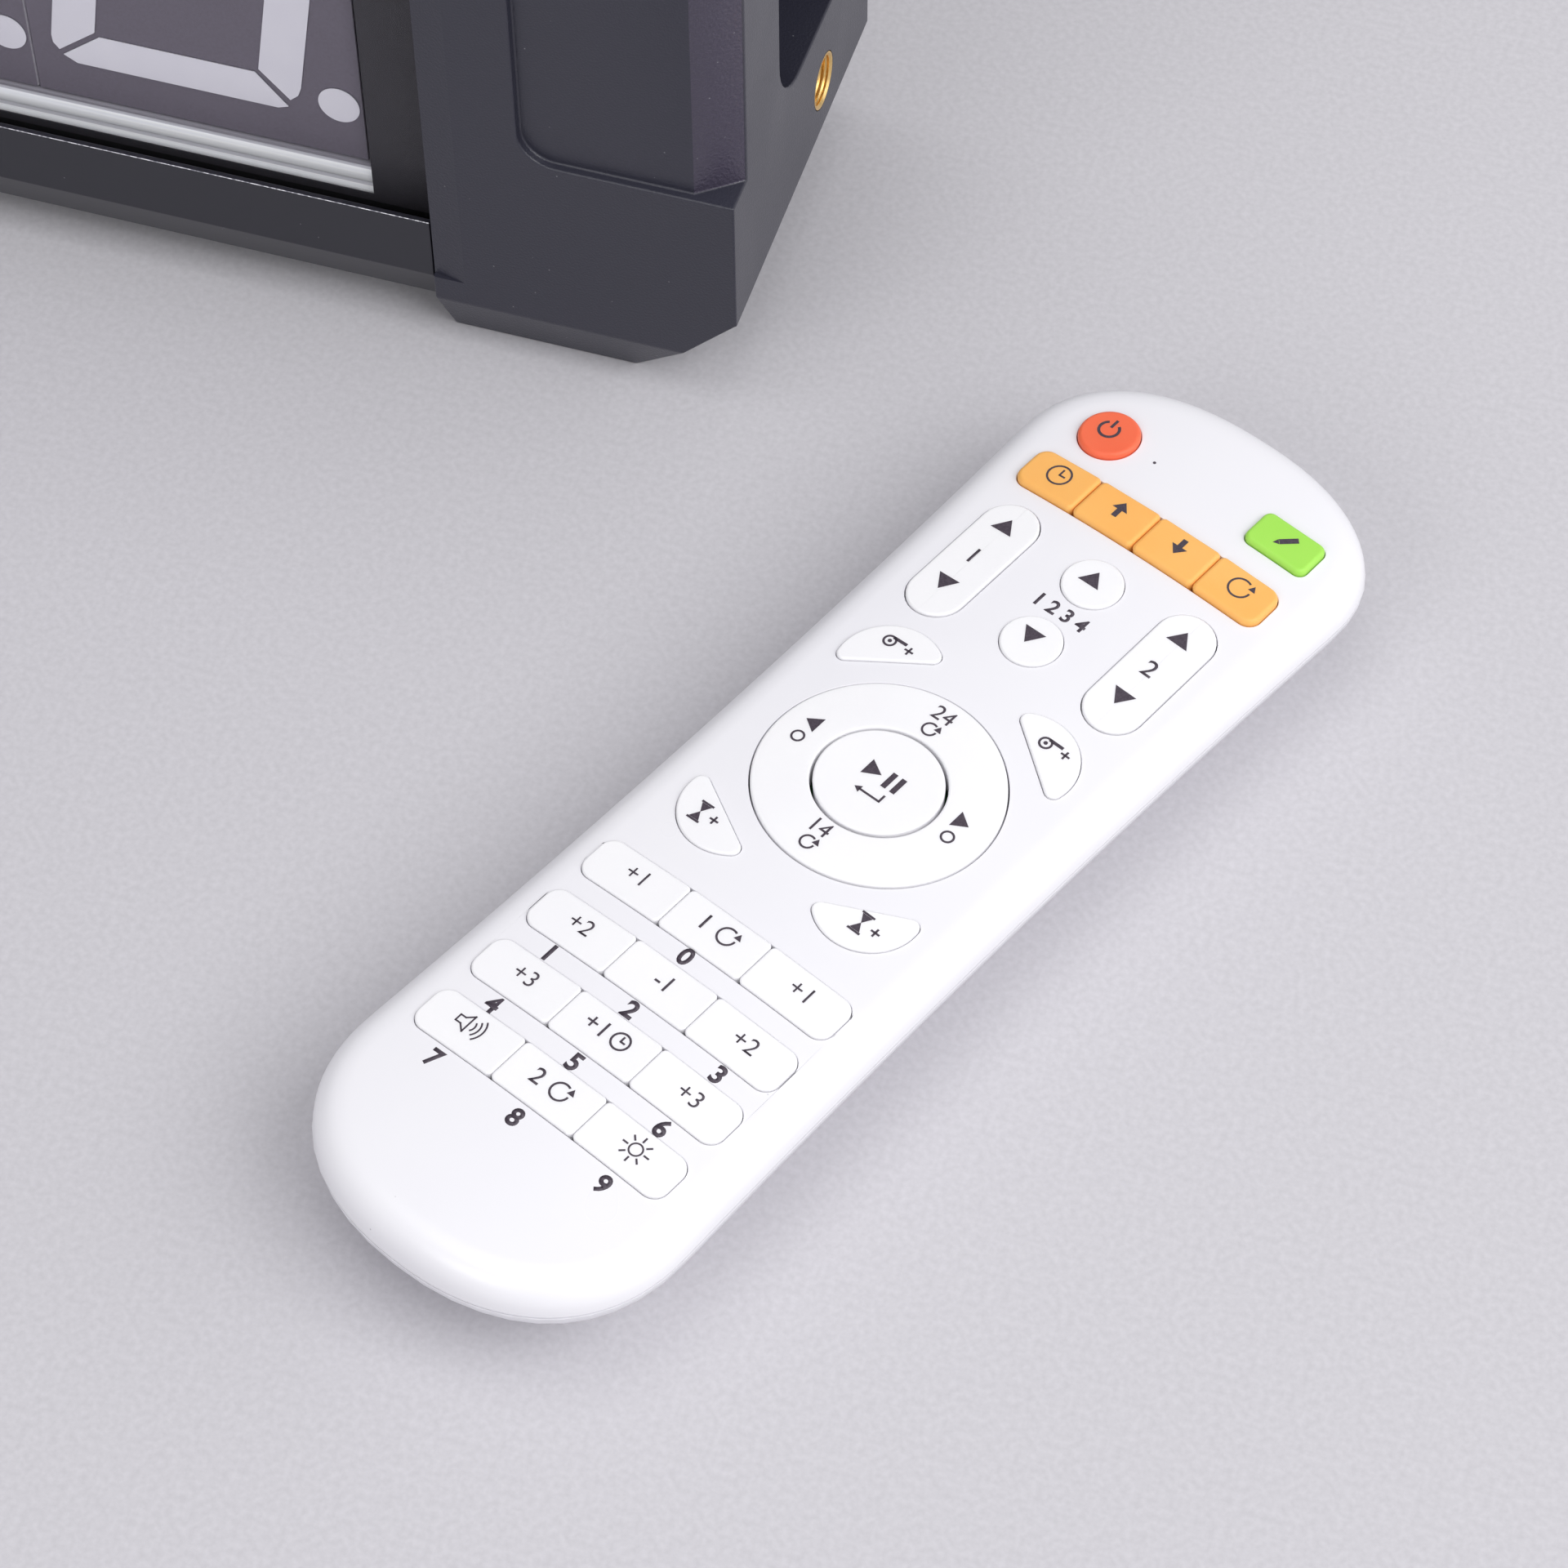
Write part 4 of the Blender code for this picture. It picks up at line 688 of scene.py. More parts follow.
# Faces under the shadow line get the near-black painted shadow.
for face in mask.data.polygons:
    if face.center.z < PAINTED_SHADOW_TOP:
        face.material_index = 1
settle(mask, "printed_window_mask", board_place, "scoreboard", "window_acrylic")


# Display window
# A sheet of smoky cast acrylic between the rails' lips. It is glossy, and it veils the digits
# a little.

GLASS_EDGE_RADIUS = 0.15

acrylic, tree, shader, place = start_material("smoky_cast_acrylic", "3A3A40", 0.12, ior=1.49)
add_grain(tree, shader, place, 25 * MM, gloss=(0.1, 0.16))
add_dust(tree, shader, place, "3A3A40", 0.7)
shader.inputs["Alpha"].default_value = 0.06


def dress_copy(node, name, place, body, slot, material, radius, judge, segments=2):
    """A CAD node's shape with rounded edges and a material, settled in its place."""
    obj = cad_copy(node, place)
    round_edges(obj, radius, judge, segments)
    weigh_normals(obj)
    coat(obj, material)
    settle(obj, name, place, body, slot, node)


dress_copy("display_window", "display_window_sheet", board_place, "scoreboard", "window_acrylic",
           acrylic, GLASS_EDGE_RADIUS, judge_box)


# Driver board
# Glass-fibre circuit board behind the modules, with green solder mask over its copper tracks.

TRACK_PITCH = 2.54 * MM
TRACK_HEIGHT = 0.03 * MM


def circuit_board(name):
    """Green solder mask, with tracks on a tenth-inch pitch and tinned pads."""
    material, tree, shader, place = start_material(name, "1E5A32", 0.38)
    even = {"Scale": 1 / TRACK_PITCH, "Randomness": 0.0}
    square = {**even, "distance": "CHEBYCHEV"}
    squares = add_node(tree, "ShaderNodeTexVoronoi", square, {"Vector": place})
    rounds = add_node(tree, "ShaderNodeTexVoronoi", even, {"Vector": place})
    ends = {"From Min": 0.42, "From Max": 0.45}
    track = add_node(tree, "ShaderNodeMapRange", ends, {"Value": squares.outputs["Distance"]})
    ends = {"From Min": 0.2, "From Max": 0.24, "To Min": 1.0, "To Max": 0.0}
    pad = add_node(tree, "ShaderNodeMapRange", ends, {"Value": rounds.outputs["Distance"]})
    greens = {"data_type": "RGBA", 6: linear("1C5A30"), 7: linear("2C7A42")}
    tint = add_node(tree, "ShaderNodeMix", greens, {0: track.outputs["Result"]})
    mix = add_node(tree, "ShaderNodeMix", {"data_type": "RGBA", 7: linear("C9CACB")},
                   {0: pad.outputs["Result"], 6: tint.outputs[2]})
    tree.links.new(mix.outputs[2], shader.inputs["Base Color"])
    bump = add_node(tree, "ShaderNodeBump", {"Strength": 1.0, "Distance": TRACK_HEIGHT},
                    {"Height": track.outputs["Result"]})
    tree.links.new(bump.outputs["Normal"], shader.inputs["Normal"])
    return material


green_board = circuit_board("green_circuit_board")


def dress(node, material):
    """Give a CAD node that stays a material of its own."""
    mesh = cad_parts[node].data
    mesh.materials.clear()
    mesh.materials.append(material)


dress("driver_board", green_board)


# Battery pack
# Two round lithium cells in a blue PVC sleeve, shrunk on with heat, so it is glossy and a
# little wavy.

PACK_EDGE_RADIUS = 1.2

sleeve = mottled("shrunk_pvc_sleeve", "1F4E9C", ("1B478F", "2558A8"), 5 * MM, bump=0.25 * MM,
                 roughness=0.25, ior=1.53)


def judge_corner(a, b, angle):
    """Only the edges near a right angle are rounded."""
    return "round" if angle > math.radians(60.0) else None


dress_copy("battery_pack", "battery_pack_sleeve", board_place, "scoreboard", "blue_shrink", sleeve,
           PACK_EDGE_RADIUS, judge_corner, 3)


# Buzzer
# A round sounder in a black moulded case, fixed behind the slots of the rear panel.

SATIN_GRAIN = 0.5 * MM
SATIN_RELIEF = 0.012 * MM
BUZZER_EDGE_RADIUS = 0.8

satin_black = moulded_black("satin_black_abs", "2C2C30", 0.36, SATIN_GRAIN, SATIN_RELIEF)
dress_copy("buzzer", "buzzer_case", board_place, "scoreboard", "black_abs", satin_black,
           BUZZER_EDGE_RADIUS, judge_corner, 3)


# Rear panel
# Moulded black ABS sheet with slots for the buzzer, held to the rails by small black screws
# with cross heads.

PANEL_FACE = 56.0
PANEL_EDGE_RADIUS = 0.3
SCREW_XS = (-212.0, -106.0, 0.0, 106.0, 212.0)
SCREW_ZS = (27.0, 173.0)
SCREW_RADIUS = 2.6
SCREW_HEIGHT = 1.1
CROSS_LENGTH = 2.6
CROSS_WIDTH = 0.7
CROSS_DEPTH = 0.7
SCREW_PROFILE = (
    (0.001, 0.0), (SCREW_RADIUS, 0.0), (SCREW_RADIUS, 0.35), (2.2, 0.8), (1.3, 1.05),
    (0.001, SCREW_HEIGHT),
)

dress_copy("rear_panel", "rear_panel_sheet", board_place, "scoreboard", "black_abs", black_abs,
           PANEL_EDGE_RADIUS, judge_box)

blackened, tree, shader, place = start_material("blackened_steel", "3A3A3E", 0.34, metallic=1.0)
add_grain(tree, shader, place, 0.6 * MM, 3.0, gloss=(0.28, 0.42))


def cut(obj, cutter):
    """Cut one object out of another, and remove the cutter."""
    pick(obj)
    modifier = obj.modifiers.new("cut", "BOOLEAN")
    modifier.operation = "DIFFERENCE"
    modifier.solver = "EXACT"
    modifier.object = cutter
    bpy.ops.object.modifier_apply(modifier=modifier.name)
    bpy.data.objects.remove(cutter)
    edit_all(obj)
    bpy.ops.mesh.dissolve_degenerate(threshold=0.001)
    bpy.ops.object.mode_set(mode="OBJECT")


def bar_points(length, width):
    """A rectangle round the origin."""
    return [(x * length / 2, y * width / 2) for x, y in ((-1, -1), (1, -1), (1, 1), (-1, 1))]


screw = spin_profile(SCREW_PROFILE, 32)
for length, width in ((CROSS_LENGTH, CROSS_WIDTH), (CROSS_WIDTH, CROSS_LENGTH)):
    slot_cutter = flat_shape(bar_points(length, width), 2.0)
    slot_cutter.data.transform(Matrix.Translation((0.0, 0.0, SCREW_HEIGHT - CROSS_DEPTH)))
    cut(screw, slot_cutter)
coat(screw, blackened)
smooth_below(screw)
heads = []
for k, x in enumerate(SCREW_XS):
    for z in SCREW_ZS:
        head = copy_of(screw, "panel_screw")
        turn = Matrix.Rotation(0.4 * k + z, 4, "Z")
        head.data.transform(Matrix.Translation((x, PANEL_FACE, z)) @ upright.inverted() @ turn)
        heads.append(head)
bpy.data.objects.remove(screw)
settle(join(heads), "rear_panel_screws", board_place, "scoreboard", "black_abs")


# Power switch
# A snap-in rocker switch, moulded in satin black. The rocker carries a bar for on and a ring
# for off, printed in white.

SWITCH_X = 150.0
SWITCH_Z = 42.0
PIVOT_Y = 53.4
ROCKER_TILT = math.radians(8.0)
ROCKER_FACE = 5.5          # from the pivot out to the rocker's raised edges
MARK_RISE = 0.03
MARK_DEPTH = 0.06
MARK_LEVEL = 4.0
ROCKER_DIP = 1.2           # how much lower the middle of its face lies
ROCKER_HALF = 7.6          # from its middle to its ends
SWITCH_EDGE_RADIUS = 0.25
ROCKER_EDGE_RADIUS = 0.3

dress_copy("power_switch_body", "power_switch_housing", board_place, "scoreboard", "black_abs",
           satin_black, SWITCH_EDGE_RADIUS, judge_box)

white_print = mottled("white_pad_print", "DADADE", ("D2D2D6", "E2E2E6"), 0.3 * MM, roughness=0.5)


def arc_line(x, y, radius, start, end, steps):
    """Points along an arc, with angles in radians."""
    turns = [start + (end - start) * k / steps for k in range(steps + 1)]
    return [(x + radius * math.cos(t), y + radius * math.sin(t)) for t in turns]


def arc_points(radius, width, start, end, x=0.0, y=0.0, steps=24):
    """The outline of a band that runs along an arc, with angles in degrees."""
    first, last = math.radians(start), math.radians(end)
    outer = arc_line(x, y, radius + width / 2, first, last, steps)
    inner = arc_line(x, y, radius - width / 2, first, last, steps)
    return outer + inner[::-1]


rocker = cad_copy("power_switch_rocker", board_place)
round_edges(rocker, ROCKER_EDGE_RADIUS, judge_box)
weigh_normals(rocker)
coat(rocker, satin_black)
slope = math.atan2(ROCKER_DIP, ROCKER_HALF)
pivot = (
    Matrix.Translation((SWITCH_X, PIVOT_Y, SWITCH_Z)) @ Matrix.Rotation(ROCKER_TILT, 4, "X")
)
marks = []
for outline, side in ((bar_points(0.5, 2.6), 1), (arc_points(1.2, 0.45, 0.0, 359.9), -1)):
    mark = flat_shape(outline, MARK_DEPTH)
    out = ROCKER_FACE - ROCKER_DIP * (1.0 - MARK_LEVEL / ROCKER_HALF)
    spot = Matrix.Translation((0.0, out - MARK_RISE, side * MARK_LEVEL))
    mark.data.transform(pivot @ spot @ Matrix.Rotation(-side * slope, 4, "X") @ upright.inverted())
    coat(mark, white_print)
    marks.append(mark)
settle(join([rocker, *marks]), "power_switch_paddle", board_place, "power_rocker", "black_abs",
       "power_switch_rocker")


# Charging socket
# A barrel socket in a black moulded body, with a nickel-plated pin in its middle.

SOCKET_X = 180.0
PIN_RADIUS = 1.2
PIN_FOOT = 48.0
SOCKET_EDGE_RADIUS = 0.25

nickel, tree, shader, place = start_material("bright_nickel_plate", "C6C4BE", 0.24, metallic=1.0)
add_grain(tree, shader, place, 0.8 * MM, 3.0, gloss=(0.18, 0.34))

socket = cad_copy("charge_socket", board_place)
coat(socket, satin_black, nickel)
for face in socket.data.polygons:
    corners = [socket.data.vertices[k].co for k in face.vertices]
    aside = max(math.hypot(co.x - SOCKET_X, co.z - SWITCH_Z) for co in corners)
    face.material_index = int(aside < PIN_RADIUS and face.center.y > PIN_FOOT)
round_edges(socket, SOCKET_EDGE_RADIUS, judge_corner)
weigh_normals(socket)
settle(socket, "charging_socket_shell", board_place, "scoreboard", "black_abs", "charge_socket")


# Remote bottom shell
# Injection-moulded white ABS, polished in the mould, so it is glossy. It is drawn in to a
# narrow flat belly, with the battery bay's walls inside and the door's channel outside.

REMOTE_TURN = math.radians(-23.5)
REMOTE_THICKNESS = 19.0
PEEL_GRAIN = 3 * MM
SHADE_PATCH = 30 * MM
LINT_CELL = 7 * MM
LINT_SIZE = 0.154 * MM

ring_low, ring_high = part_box("key_start_stop")
ring_middle = (ring_low + ring_high) / 2
remote_place = (
    Matrix.Translation((ring_middle.x, ring_middle.y, REMOTE_THICKNESS * MM))
    @ Matrix.Rotation(REMOTE_TURN, 4, "Z") @ Matrix.Scale(MM, 4)
)


def white_plastic(name, shades, roughness, relief):
    """Glossy white moulding with a faint orange peel and a little lint."""
    material, tree, shader, place = start_material(name, shades[0], roughness, ior=1.54)
    gloss = (roughness - GLOSS_SPREAD, roughness + GLOSS_SPREAD)
    tint = add_grain(tree, shader, place, SHADE_PATCH, shades=shades, gloss=gloss)
    add_grain(tree, shader, place, PEEL_GRAIN, 1.0, relief=relief)
    add_dust(tree, shader, place, tint, 0.7, LINT_CELL, LINT_SIZE, "77747C")
    return material


def judge_shell(a, b, angle):
    """No edge is rounded, and the sharp ones stay creases."""
    return "crease" if angle > math.radians(38.0) else None


white_abs = white_plastic("polished_white_abs", ("F2F1F5", "EFEEF3"), 0.3, 0.012 * MM)
dress_copy("remote_bottom_shell", "remote_lower_shell", remote_place, "remote", "white_abs",
           white_abs, 0.0, judge_shell)


# Remote circuit board and keypad mat
# The board is glass fibre with green solder mask. The pale silicone mat over it springs the
# keys back.

dress("remote_circuit_board", green_board)

rubber = mottled("pale_moulded_silicone", "CDCCD2", ("C9C8CE", "D1D0D6"), 1.5 * MM, bump=0.02 * MM,
                 roughness=0.6, ior=1.41)
dress("remote_keypad_mat", rubber)
dress("key_ring_web", rubber)


# Remote cells
# Two small round dry cells, head to tail. A printed plastic jacket covers the steel can, and
# its ends and the tip are bare plated steel.

CELL_PITCH = 10.7
CELL_RADIUS = 5.2
CELL_LENGTH = 44.5
CELL_MIDDLE = (-43.75, -12.0)
JACKET_BAND = 12.0
RIM_RADIUS = 4.7           # the bare metal's, at the two ends

jacket = mottled("printed_cell_jacket", "2B2B30", ("26262B", "303036"), 4 * MM, 1.0, roughness=0.3)
band = mottled("orange_jacket_band", "C9772E", ("C4722A", "CF7E35"), 4 * MM, 1.0, roughness=0.3)

for k, side in enumerate((-1, 1)):
    half = CELL_LENGTH / 2
    profile = [(0.001, -half), (3.6, -half), (4.3, -half + 0.25), (4.9, -half + 0.1),
               (CELL_RADIUS, -half + 0.5), (CELL_RADIUS, half - JACKET_BAND),
               (CELL_RADIUS, half - 1.5), (4.9, half - 1.1), (4.2, half - 1.2), (3.9, half - 1.0),
               (1.9, half - 1.0), (1.75, half - 0.2), (1.4, half), (0.001, half)]
    cell = spin_profile(profile, 40)
    coat(cell, jacket, band, nickel)
    for face in cell.data.polygons:
        if math.hypot(face.center.x, face.center.y) < RIM_RADIUS:
            face.material_index = 2
        elif face.center.z > half - JACKET_BAND:
            face.material_index = 1
    smooth_below(cell, 35.0)
    spot = Matrix.Translation((side * CELL_PITCH / 2, *CELL_MIDDLE))
    cell.data.transform(spot @ Matrix.Rotation(-side * math.pi / 2, 4, "X"))
    settle(cell, f"remote_dry_cell_{k + 1}", remote_place, "remote", "cell_jacket",
           f"remote_cell_{k + 1}")


# Battery contacts
# Sprung steel plate, pressed and nickel plated, with a bump where each cell touches.

for word in ("near", "far"):
    plate = cad_copy("remote_contact_" + word, remote_place)
    smooth_below(plate, 45.0)
    coat(plate, nickel)
    settle(plate, f"remote_{word}_contact_plate", remote_place, "remote", "nickel_plate",
           "remote_contact_" + word)


# Battery door
# The same white ABS. It slides in the shell's grooves, and shallow grooves across its end give
# the thumb a grip.

DOOR_WIDTH = 21.8
DOOR_GRIP_Y = -64.0
GRIP_MARGIN = 4.0
GRIP_RADIUS = 0.7
GRIP_PITCH = 2.2
GRIP_COUNT = 5

door = cad_copy("remote_battery_door", remote_place)
grip = DOOR_WIDTH - 2 * GRIP_MARGIN
for k in range(GRIP_COUNT):
    groove = flat_shape(circle_points(GRIP_RADIUS, 16), grip)
    spot = Matrix.Translation((-grip / 2, DOOR_GRIP_Y + k * GRIP_PITCH, -REMOTE_THICKNESS))
    groove.data.transform(spot @ Matrix.Rotation(math.pi / 2, 4, "Y"))
    cut(door, groove)
smooth_below(door)
coat(door, white_abs)
settle(door, "remote_door_moulding", remote_place, "battery_door", "white_abs", "remote_battery_door")


# Key outlines
# Every key and its opening in the top shell share one outline. The white keys stand almost
# level with the shell, and the coloured ones a little higher.

KEY_BASE = 3.2
KEY_ROOM = 0.3
CROWN_RADIUS = 226.0
WHITE_PROUD = 0.3
COLOUR_PROUD = 0.8
KEY_COLUMN_X = 14.2
TOP_ROW_Y = 62.7
CLOCK_ROW_Y = 52.4
CLOCK_PITCH = 9.62
CLOCK_HEIGHT = 6.6
CLOCK_CORNERS = (1.8, 0.7)
GRID_TOP_Y = -26.9
GRID_PITCH = 9.66
GRID_HEIGHT = 6.4
GRID_EDGES = (-19.5, -6.42, 6.42, 19.5)
GRID_CORNERS = (1.9, 0.6)
MOON_RADIUS = 6.9
MOON_TIP = 1.0
MOON_CHORD = 1.2
CLOCK_NAMES = ("key_clock", "key_up", "key_down", "key_new_game")
GRID_NAMES = (
    ("key_home_plus_1", "key_timer_1_reset", "key_guest_plus_1"),
    ("key_home_plus_2", "key_minus_1", "key_guest_plus_2"),
    ("key_home_plus_3", "key_plus_1_second", "key_guest_plus_3"),
    ("key_buzzer", "key_timer_2_reset", "key_brightness"),
)


def rounded(width, height, corners, grow=0.0):
    """A rectangle round the origin whose corners, from the low left one round, have radii."""
    w, h = width / 2 + grow, height / 2 + grow
    points = []
    for k, (sx, sy) in enumerate(((-1, -1), (1, -1), (1, 1), (-1, 1))):
        r = corners[k] + grow
        start = math.pi + k * math.pi / 2
        points += arc_line(sx * (w - r), sy * (h - r), r, start, start + math.pi / 2, 8)
    return points


def turned(points, turn, x=0.0, y=0.0):
    """Points turned about the origin by some degrees, then moved."""
    cos, sin = math.cos(math.radians(turn)), math.sin(math.radians(turn))
    return [(x + a * cos - b * sin, y + a * sin + b * cos) for a, b in points]


def half_moon(turn, mirror, grow=0.0):
    """A half-moon with rounded tips, turned about its arc's centre."""
    radius, tip, chord = MOON_RADIUS + grow, MOON_TIP + grow, MOON_CHORD - grow
    x = chord + tip
    y = math.sqrt((radius - tip) ** 2 - x ** 2)
    lean = math.atan2(y, x)
    points = arc_line(x, -y, tip, -math.pi, -lean, 6)
    points += arc_line(0.0, 0.0, radius, -lean, lean, 24)[1:-1]
    points += arc_line(x, y, tip, lean, math.pi, 6)
    return [(a * mirror, b) for a, b in turned(points, turn)]


def crown(x):
    """How far the arched top lies under its ridge."""
    return -x * x / (2.0 * CROWN_RADIUS)


# Each key: outline for a given growth, place and height
keys = {
    "key_power": (lambda g: circle_points(4.0 + g, 64), (-KEY_COLUMN_X, TOP_ROW_Y), COLOUR_PROUD),
    "key_edit": (lambda g: rounded(9.3, 5.6, (1.1,) * 4, g), (KEY_COLUMN_X, TOP_ROW_Y), COLOUR_PROUD),
}
for word, y in (("up", 41.5), ("down", 29.3)):
    keys["key_period_" + word] = (lambda g: circle_points(3.92 + g, 64), (0.0, y), WHITE_PROUD)
for side, word in ((-1, "home"), (1, "guest")):
    keys[f"key_{word}_score"] = (lambda g: rounded(7.9, 22.0, (3.94,) * 4, g),
                                 (side * KEY_COLUMN_X, 35.1), WHITE_PROUD)
    for kind, turn, x, y in (("foul", 125.3, 10.9, 14.5), ("timeout", 241.3, 10.8, -14.5)):
        keys[f"key_{word}_{kind}"] = (lambda g, t=turn, s=side: half_moon(t, -s, g), (side * x, y),
                                      WHITE_PROUD)


def add_row(names, edges, y, height, corners, proud):
    """Keys that stand side by side in one opening, rounder at the row's two ends."""
    outer, inner = corners
    for k, name in enumerate(names):
        left = edges[k] + (KEY_ROOM / 2 if k else 0.0)
        right = edges[k + 1] - (KEY_ROOM / 2 if k < len(names) - 1 else 0.0)
        left_r = inner if k else outer
        right_r = inner if k < len(names) - 1 else outer
        corner_radii = (left_r, right_r, right_r, left_r)
        keys[name] = (lambda g, w=right - left, r=corner_radii: rounded(w, height, r, g),
                      ((left + right) / 2, y), proud)


clock_edges = [CLOCK_PITCH * (k - 2) for k in range(5)]
add_row(CLOCK_NAMES, clock_edges, CLOCK_ROW_Y, CLOCK_HEIGHT, CLOCK_CORNERS, COLOUR_PROUD)
for row, names in enumerate(GRID_NAMES):
    add_row(names, GRID_EDGES, GRID_TOP_Y - row * GRID_PITCH - GRID_HEIGHT / 2, GRID_HEIGHT,
            GRID_CORNERS, WHITE_PROUD)


# Remote top shell
# The same polished white ABS, arched across its width, with a softly rounded edge and an
# opening for each key or row of keys.

REMOTE_ENDS = ((-85.6, 22.0, 2.2), (76.9, 19.0, 2.35))   # each end: Y, how long, how square
REMOTE_WAIST = 24.25
REMOTE_WAIST_Y = -10.0
REMOTE_FLARE = 3.2e-4
END_STEPS = 22
SIDE_STEPS = 24
PARTING = 5.0              # the seam lies this far under the ridge
TOP_EDGE_WIDTH = 4.7
SEAM_STEP = 0.08
TOP_WALL = 1.7
STRIP = 1.5
HOLE_ROOM = 0.19
HOLE_EDGE_RADIUS = 0.14
RIM_LEVEL = -1.2           # the edges over it are the openings' outer ones
NEAR_POINTS = 0.05         # points of a cut closer than this become one
HALF_WIDTH = 22.0
CUT_FOOT = -9.0
CUT_HEIGHT = 14.0
GRID_WIDTH = 39.0
RING_RADII = (16.0, 15.35)
TOP_EDGE = (
    (0.0, 1.0), (0.015, 0.859), (0.045, 0.68), (0.097, 0.524), (0.17, 0.38), (0.27, 0.254),
    (0.39, 0.15), (0.529, 0.077), (0.68, 0.03), (0.858, 0.007), (1.0, 0.0),
)


def side_width(y):
    """Half the remote's width at a place along it."""
    return REMOTE_WAIST + REMOTE_FLARE * (y - REMOTE_WAIST_Y) ** 2


def remote_outline():
    """The remote seen from above: a gently waisted bar with broad rounded ends."""
    right = []
    for (end, size, squareness), sign in zip(REMOTE_ENDS, (-1, 1)):
        power = 2.0 / squareness
        quarter = []
        for k in range(END_STEPS + 1):
            angle = math.pi / 2 * k / END_STEPS
            y = end - sign * size * (1.0 - math.sin(angle) ** power)
            across = math.cos(angle) ** power if k < END_STEPS else 0.0
            quarter.append((side_width(y) * across, y))
        right += quarter[::-1] if sign < 0 else quarter
        if sign < 0:
            low, high = quarter[0][1], REMOTE_ENDS[1][0] - REMOTE_ENDS[1][1]
            for k in range(1, SIDE_STEPS):
                y = low + (high - low) * k / SIDE_STEPS
                right.append((side_width(y), y))
    return right + [(-x, y) for x, y in right[-2:0:-1]]


def inset_outline(points, inset):
    """Draw an outline in by the same distance all round."""
    moved = []
    for k, (x, y) in enumerate(points):
        ax, ay = points[k - 1]
        bx, by = points[(k + 1) % len(points)]
        length = math.hypot(bx - ax, by - ay)
        moved.append((x - (by - ay) / length * inset, y + (bx - ax) / length * inset))
    return moved


def nearest(points, co):
    """Which of the points lies nearest to a vertex, seen from above."""
    gaps = [(x - co.x) ** 2 + (y - co.y) ** 2 for x, y in points]
    return gaps.index(min(gaps))


def big_face(bm):
    """The face with the most corners."""
    return max(bm.faces, key=lambda face: len(face.verts))


def pick_big_face(obj):
    """Select the face with the most corners and no other."""
    bpy.ops.mesh.select_all(action="DESELECT")
    bm = bmesh.from_edit_mesh(obj.data)
    big_face(bm).select_set(True)
    bmesh.update_edit_mesh(obj.data)


def draw_in(obj, rows):
    """Inset a plate's one big face row by row. The first row is the outline that it has."""
    bpy.ops.object.mode_set(mode="EDIT")
    bpy.ops.mesh.select_mode(type="FACE")
    for (old, _), (new, level) in zip(rows, rows[1:]):
        pick_big_face(obj)
        bpy.ops.mesh.inset(thickness=0.001, depth=0.0)
        bm = bmesh.from_edit_mesh(obj.data)
        for vert in big_face(bm).verts:
            vert.co = (*new[nearest(old, vert.co)], level)
        bmesh.update_edit_mesh(obj.data)
    bpy.ops.object.mode_set(mode="OBJECT")


def skin(levels):
    """Draw the remote's outline in, level by level, into one open skin with a flat end."""
    outline = remote_outline()
    rows = [(inset_outline(outline, inset), z) for inset, z in levels]
    obj = flat_shape(rows[0][0])
    obj.data.transform(Matrix.Translation((0.0, 0.0, rows[0][1])))
    draw_in(obj, rows)
    return obj


def strip_top(obj):
    """Cut the flat top into strips along the length, for the arch."""
    bpy.ops.object.mode_set(mode="EDIT")
    bpy.ops.mesh.select_mode(type="FACE")
    count = int(HALF_WIDTH / STRIP) + 1
    for k in range(-count, count):
        bm = bmesh.from_edit_mesh(obj.data)
        for face in bm.faces:
            face.select_set(face.normal.z > 0.999 and abs(face.calc_center_median().z) < 0.001)
        bmesh.update_edit_mesh(obj.data)
        bpy.ops.mesh.bisect(plane_co=((k + 0.5) * STRIP, 0.0, 0.0), plane_no=(1.0, 0.0, 0.0))
    bpy.ops.object.mode_set(mode="OBJECT")


def thicken(obj, thickness):
    """Give an open skin a wall inwards."""
    pick(obj)
    wall = obj.modifiers.new("wall", "SOLIDIFY")
    wall.thickness = thickness
    wall.offset = -1.0
    bpy.ops.object.modifier_apply(modifier=wall.name)


def merge_points(obj, distance):
    """Make one point of those closer than a distance."""
    edit_all(obj)
    bpy.ops.mesh.remove_doubles(threshold=distance)
    bpy.ops.object.mode_set(mode="OBJECT")


def judge_rim(a, b, angle):
    """The openings' outer edges are rounded, and the inner ones stay sharp."""
    if angle < math.radians(40.0):
        return None
    return "round" if min(a.z, b.z) > RIM_LEVEL else "crease"


edge = TOP_EDGE_WIDTH - SEAM_STEP
shell = skin([(SEAM_STEP + edge * across, -PARTING * down) for across, down in TOP_EDGE])
pick(shell)
strip_top(shell)
for vert in shell.data.vertices:
    vert.co.z += crown(vert.co.x) * (vert.co.z + PARTING) / PARTING
thicken(shell, TOP_WALL)

openings = [(outline(HOLE_ROOM), spot) for name, (outline, spot, proud) in keys.items()
            if name not in CLOCK_NAMES and not any(name in names for names in GRID_NAMES)]
ring_opening = [radius + HOLE_ROOM for radius in RING_RADII]
openings.append((circle_points(ring_opening[0], 128, radius_y=ring_opening[1]), (0, 0)))
openings.append((rounded(4 * CLOCK_PITCH, CLOCK_HEIGHT, (CLOCK_CORNERS[0],) * 4, HOLE_ROOM),
                 (0.0, CLOCK_ROW_Y)))
for row in range(len(GRID_NAMES)):
    openings.append((rounded(GRID_WIDTH, GRID_HEIGHT, (GRID_CORNERS[0],) * 4, HOLE_ROOM),
                     (0.0, GRID_TOP_Y - row * GRID_PITCH - GRID_HEIGHT / 2)))
cutters = []
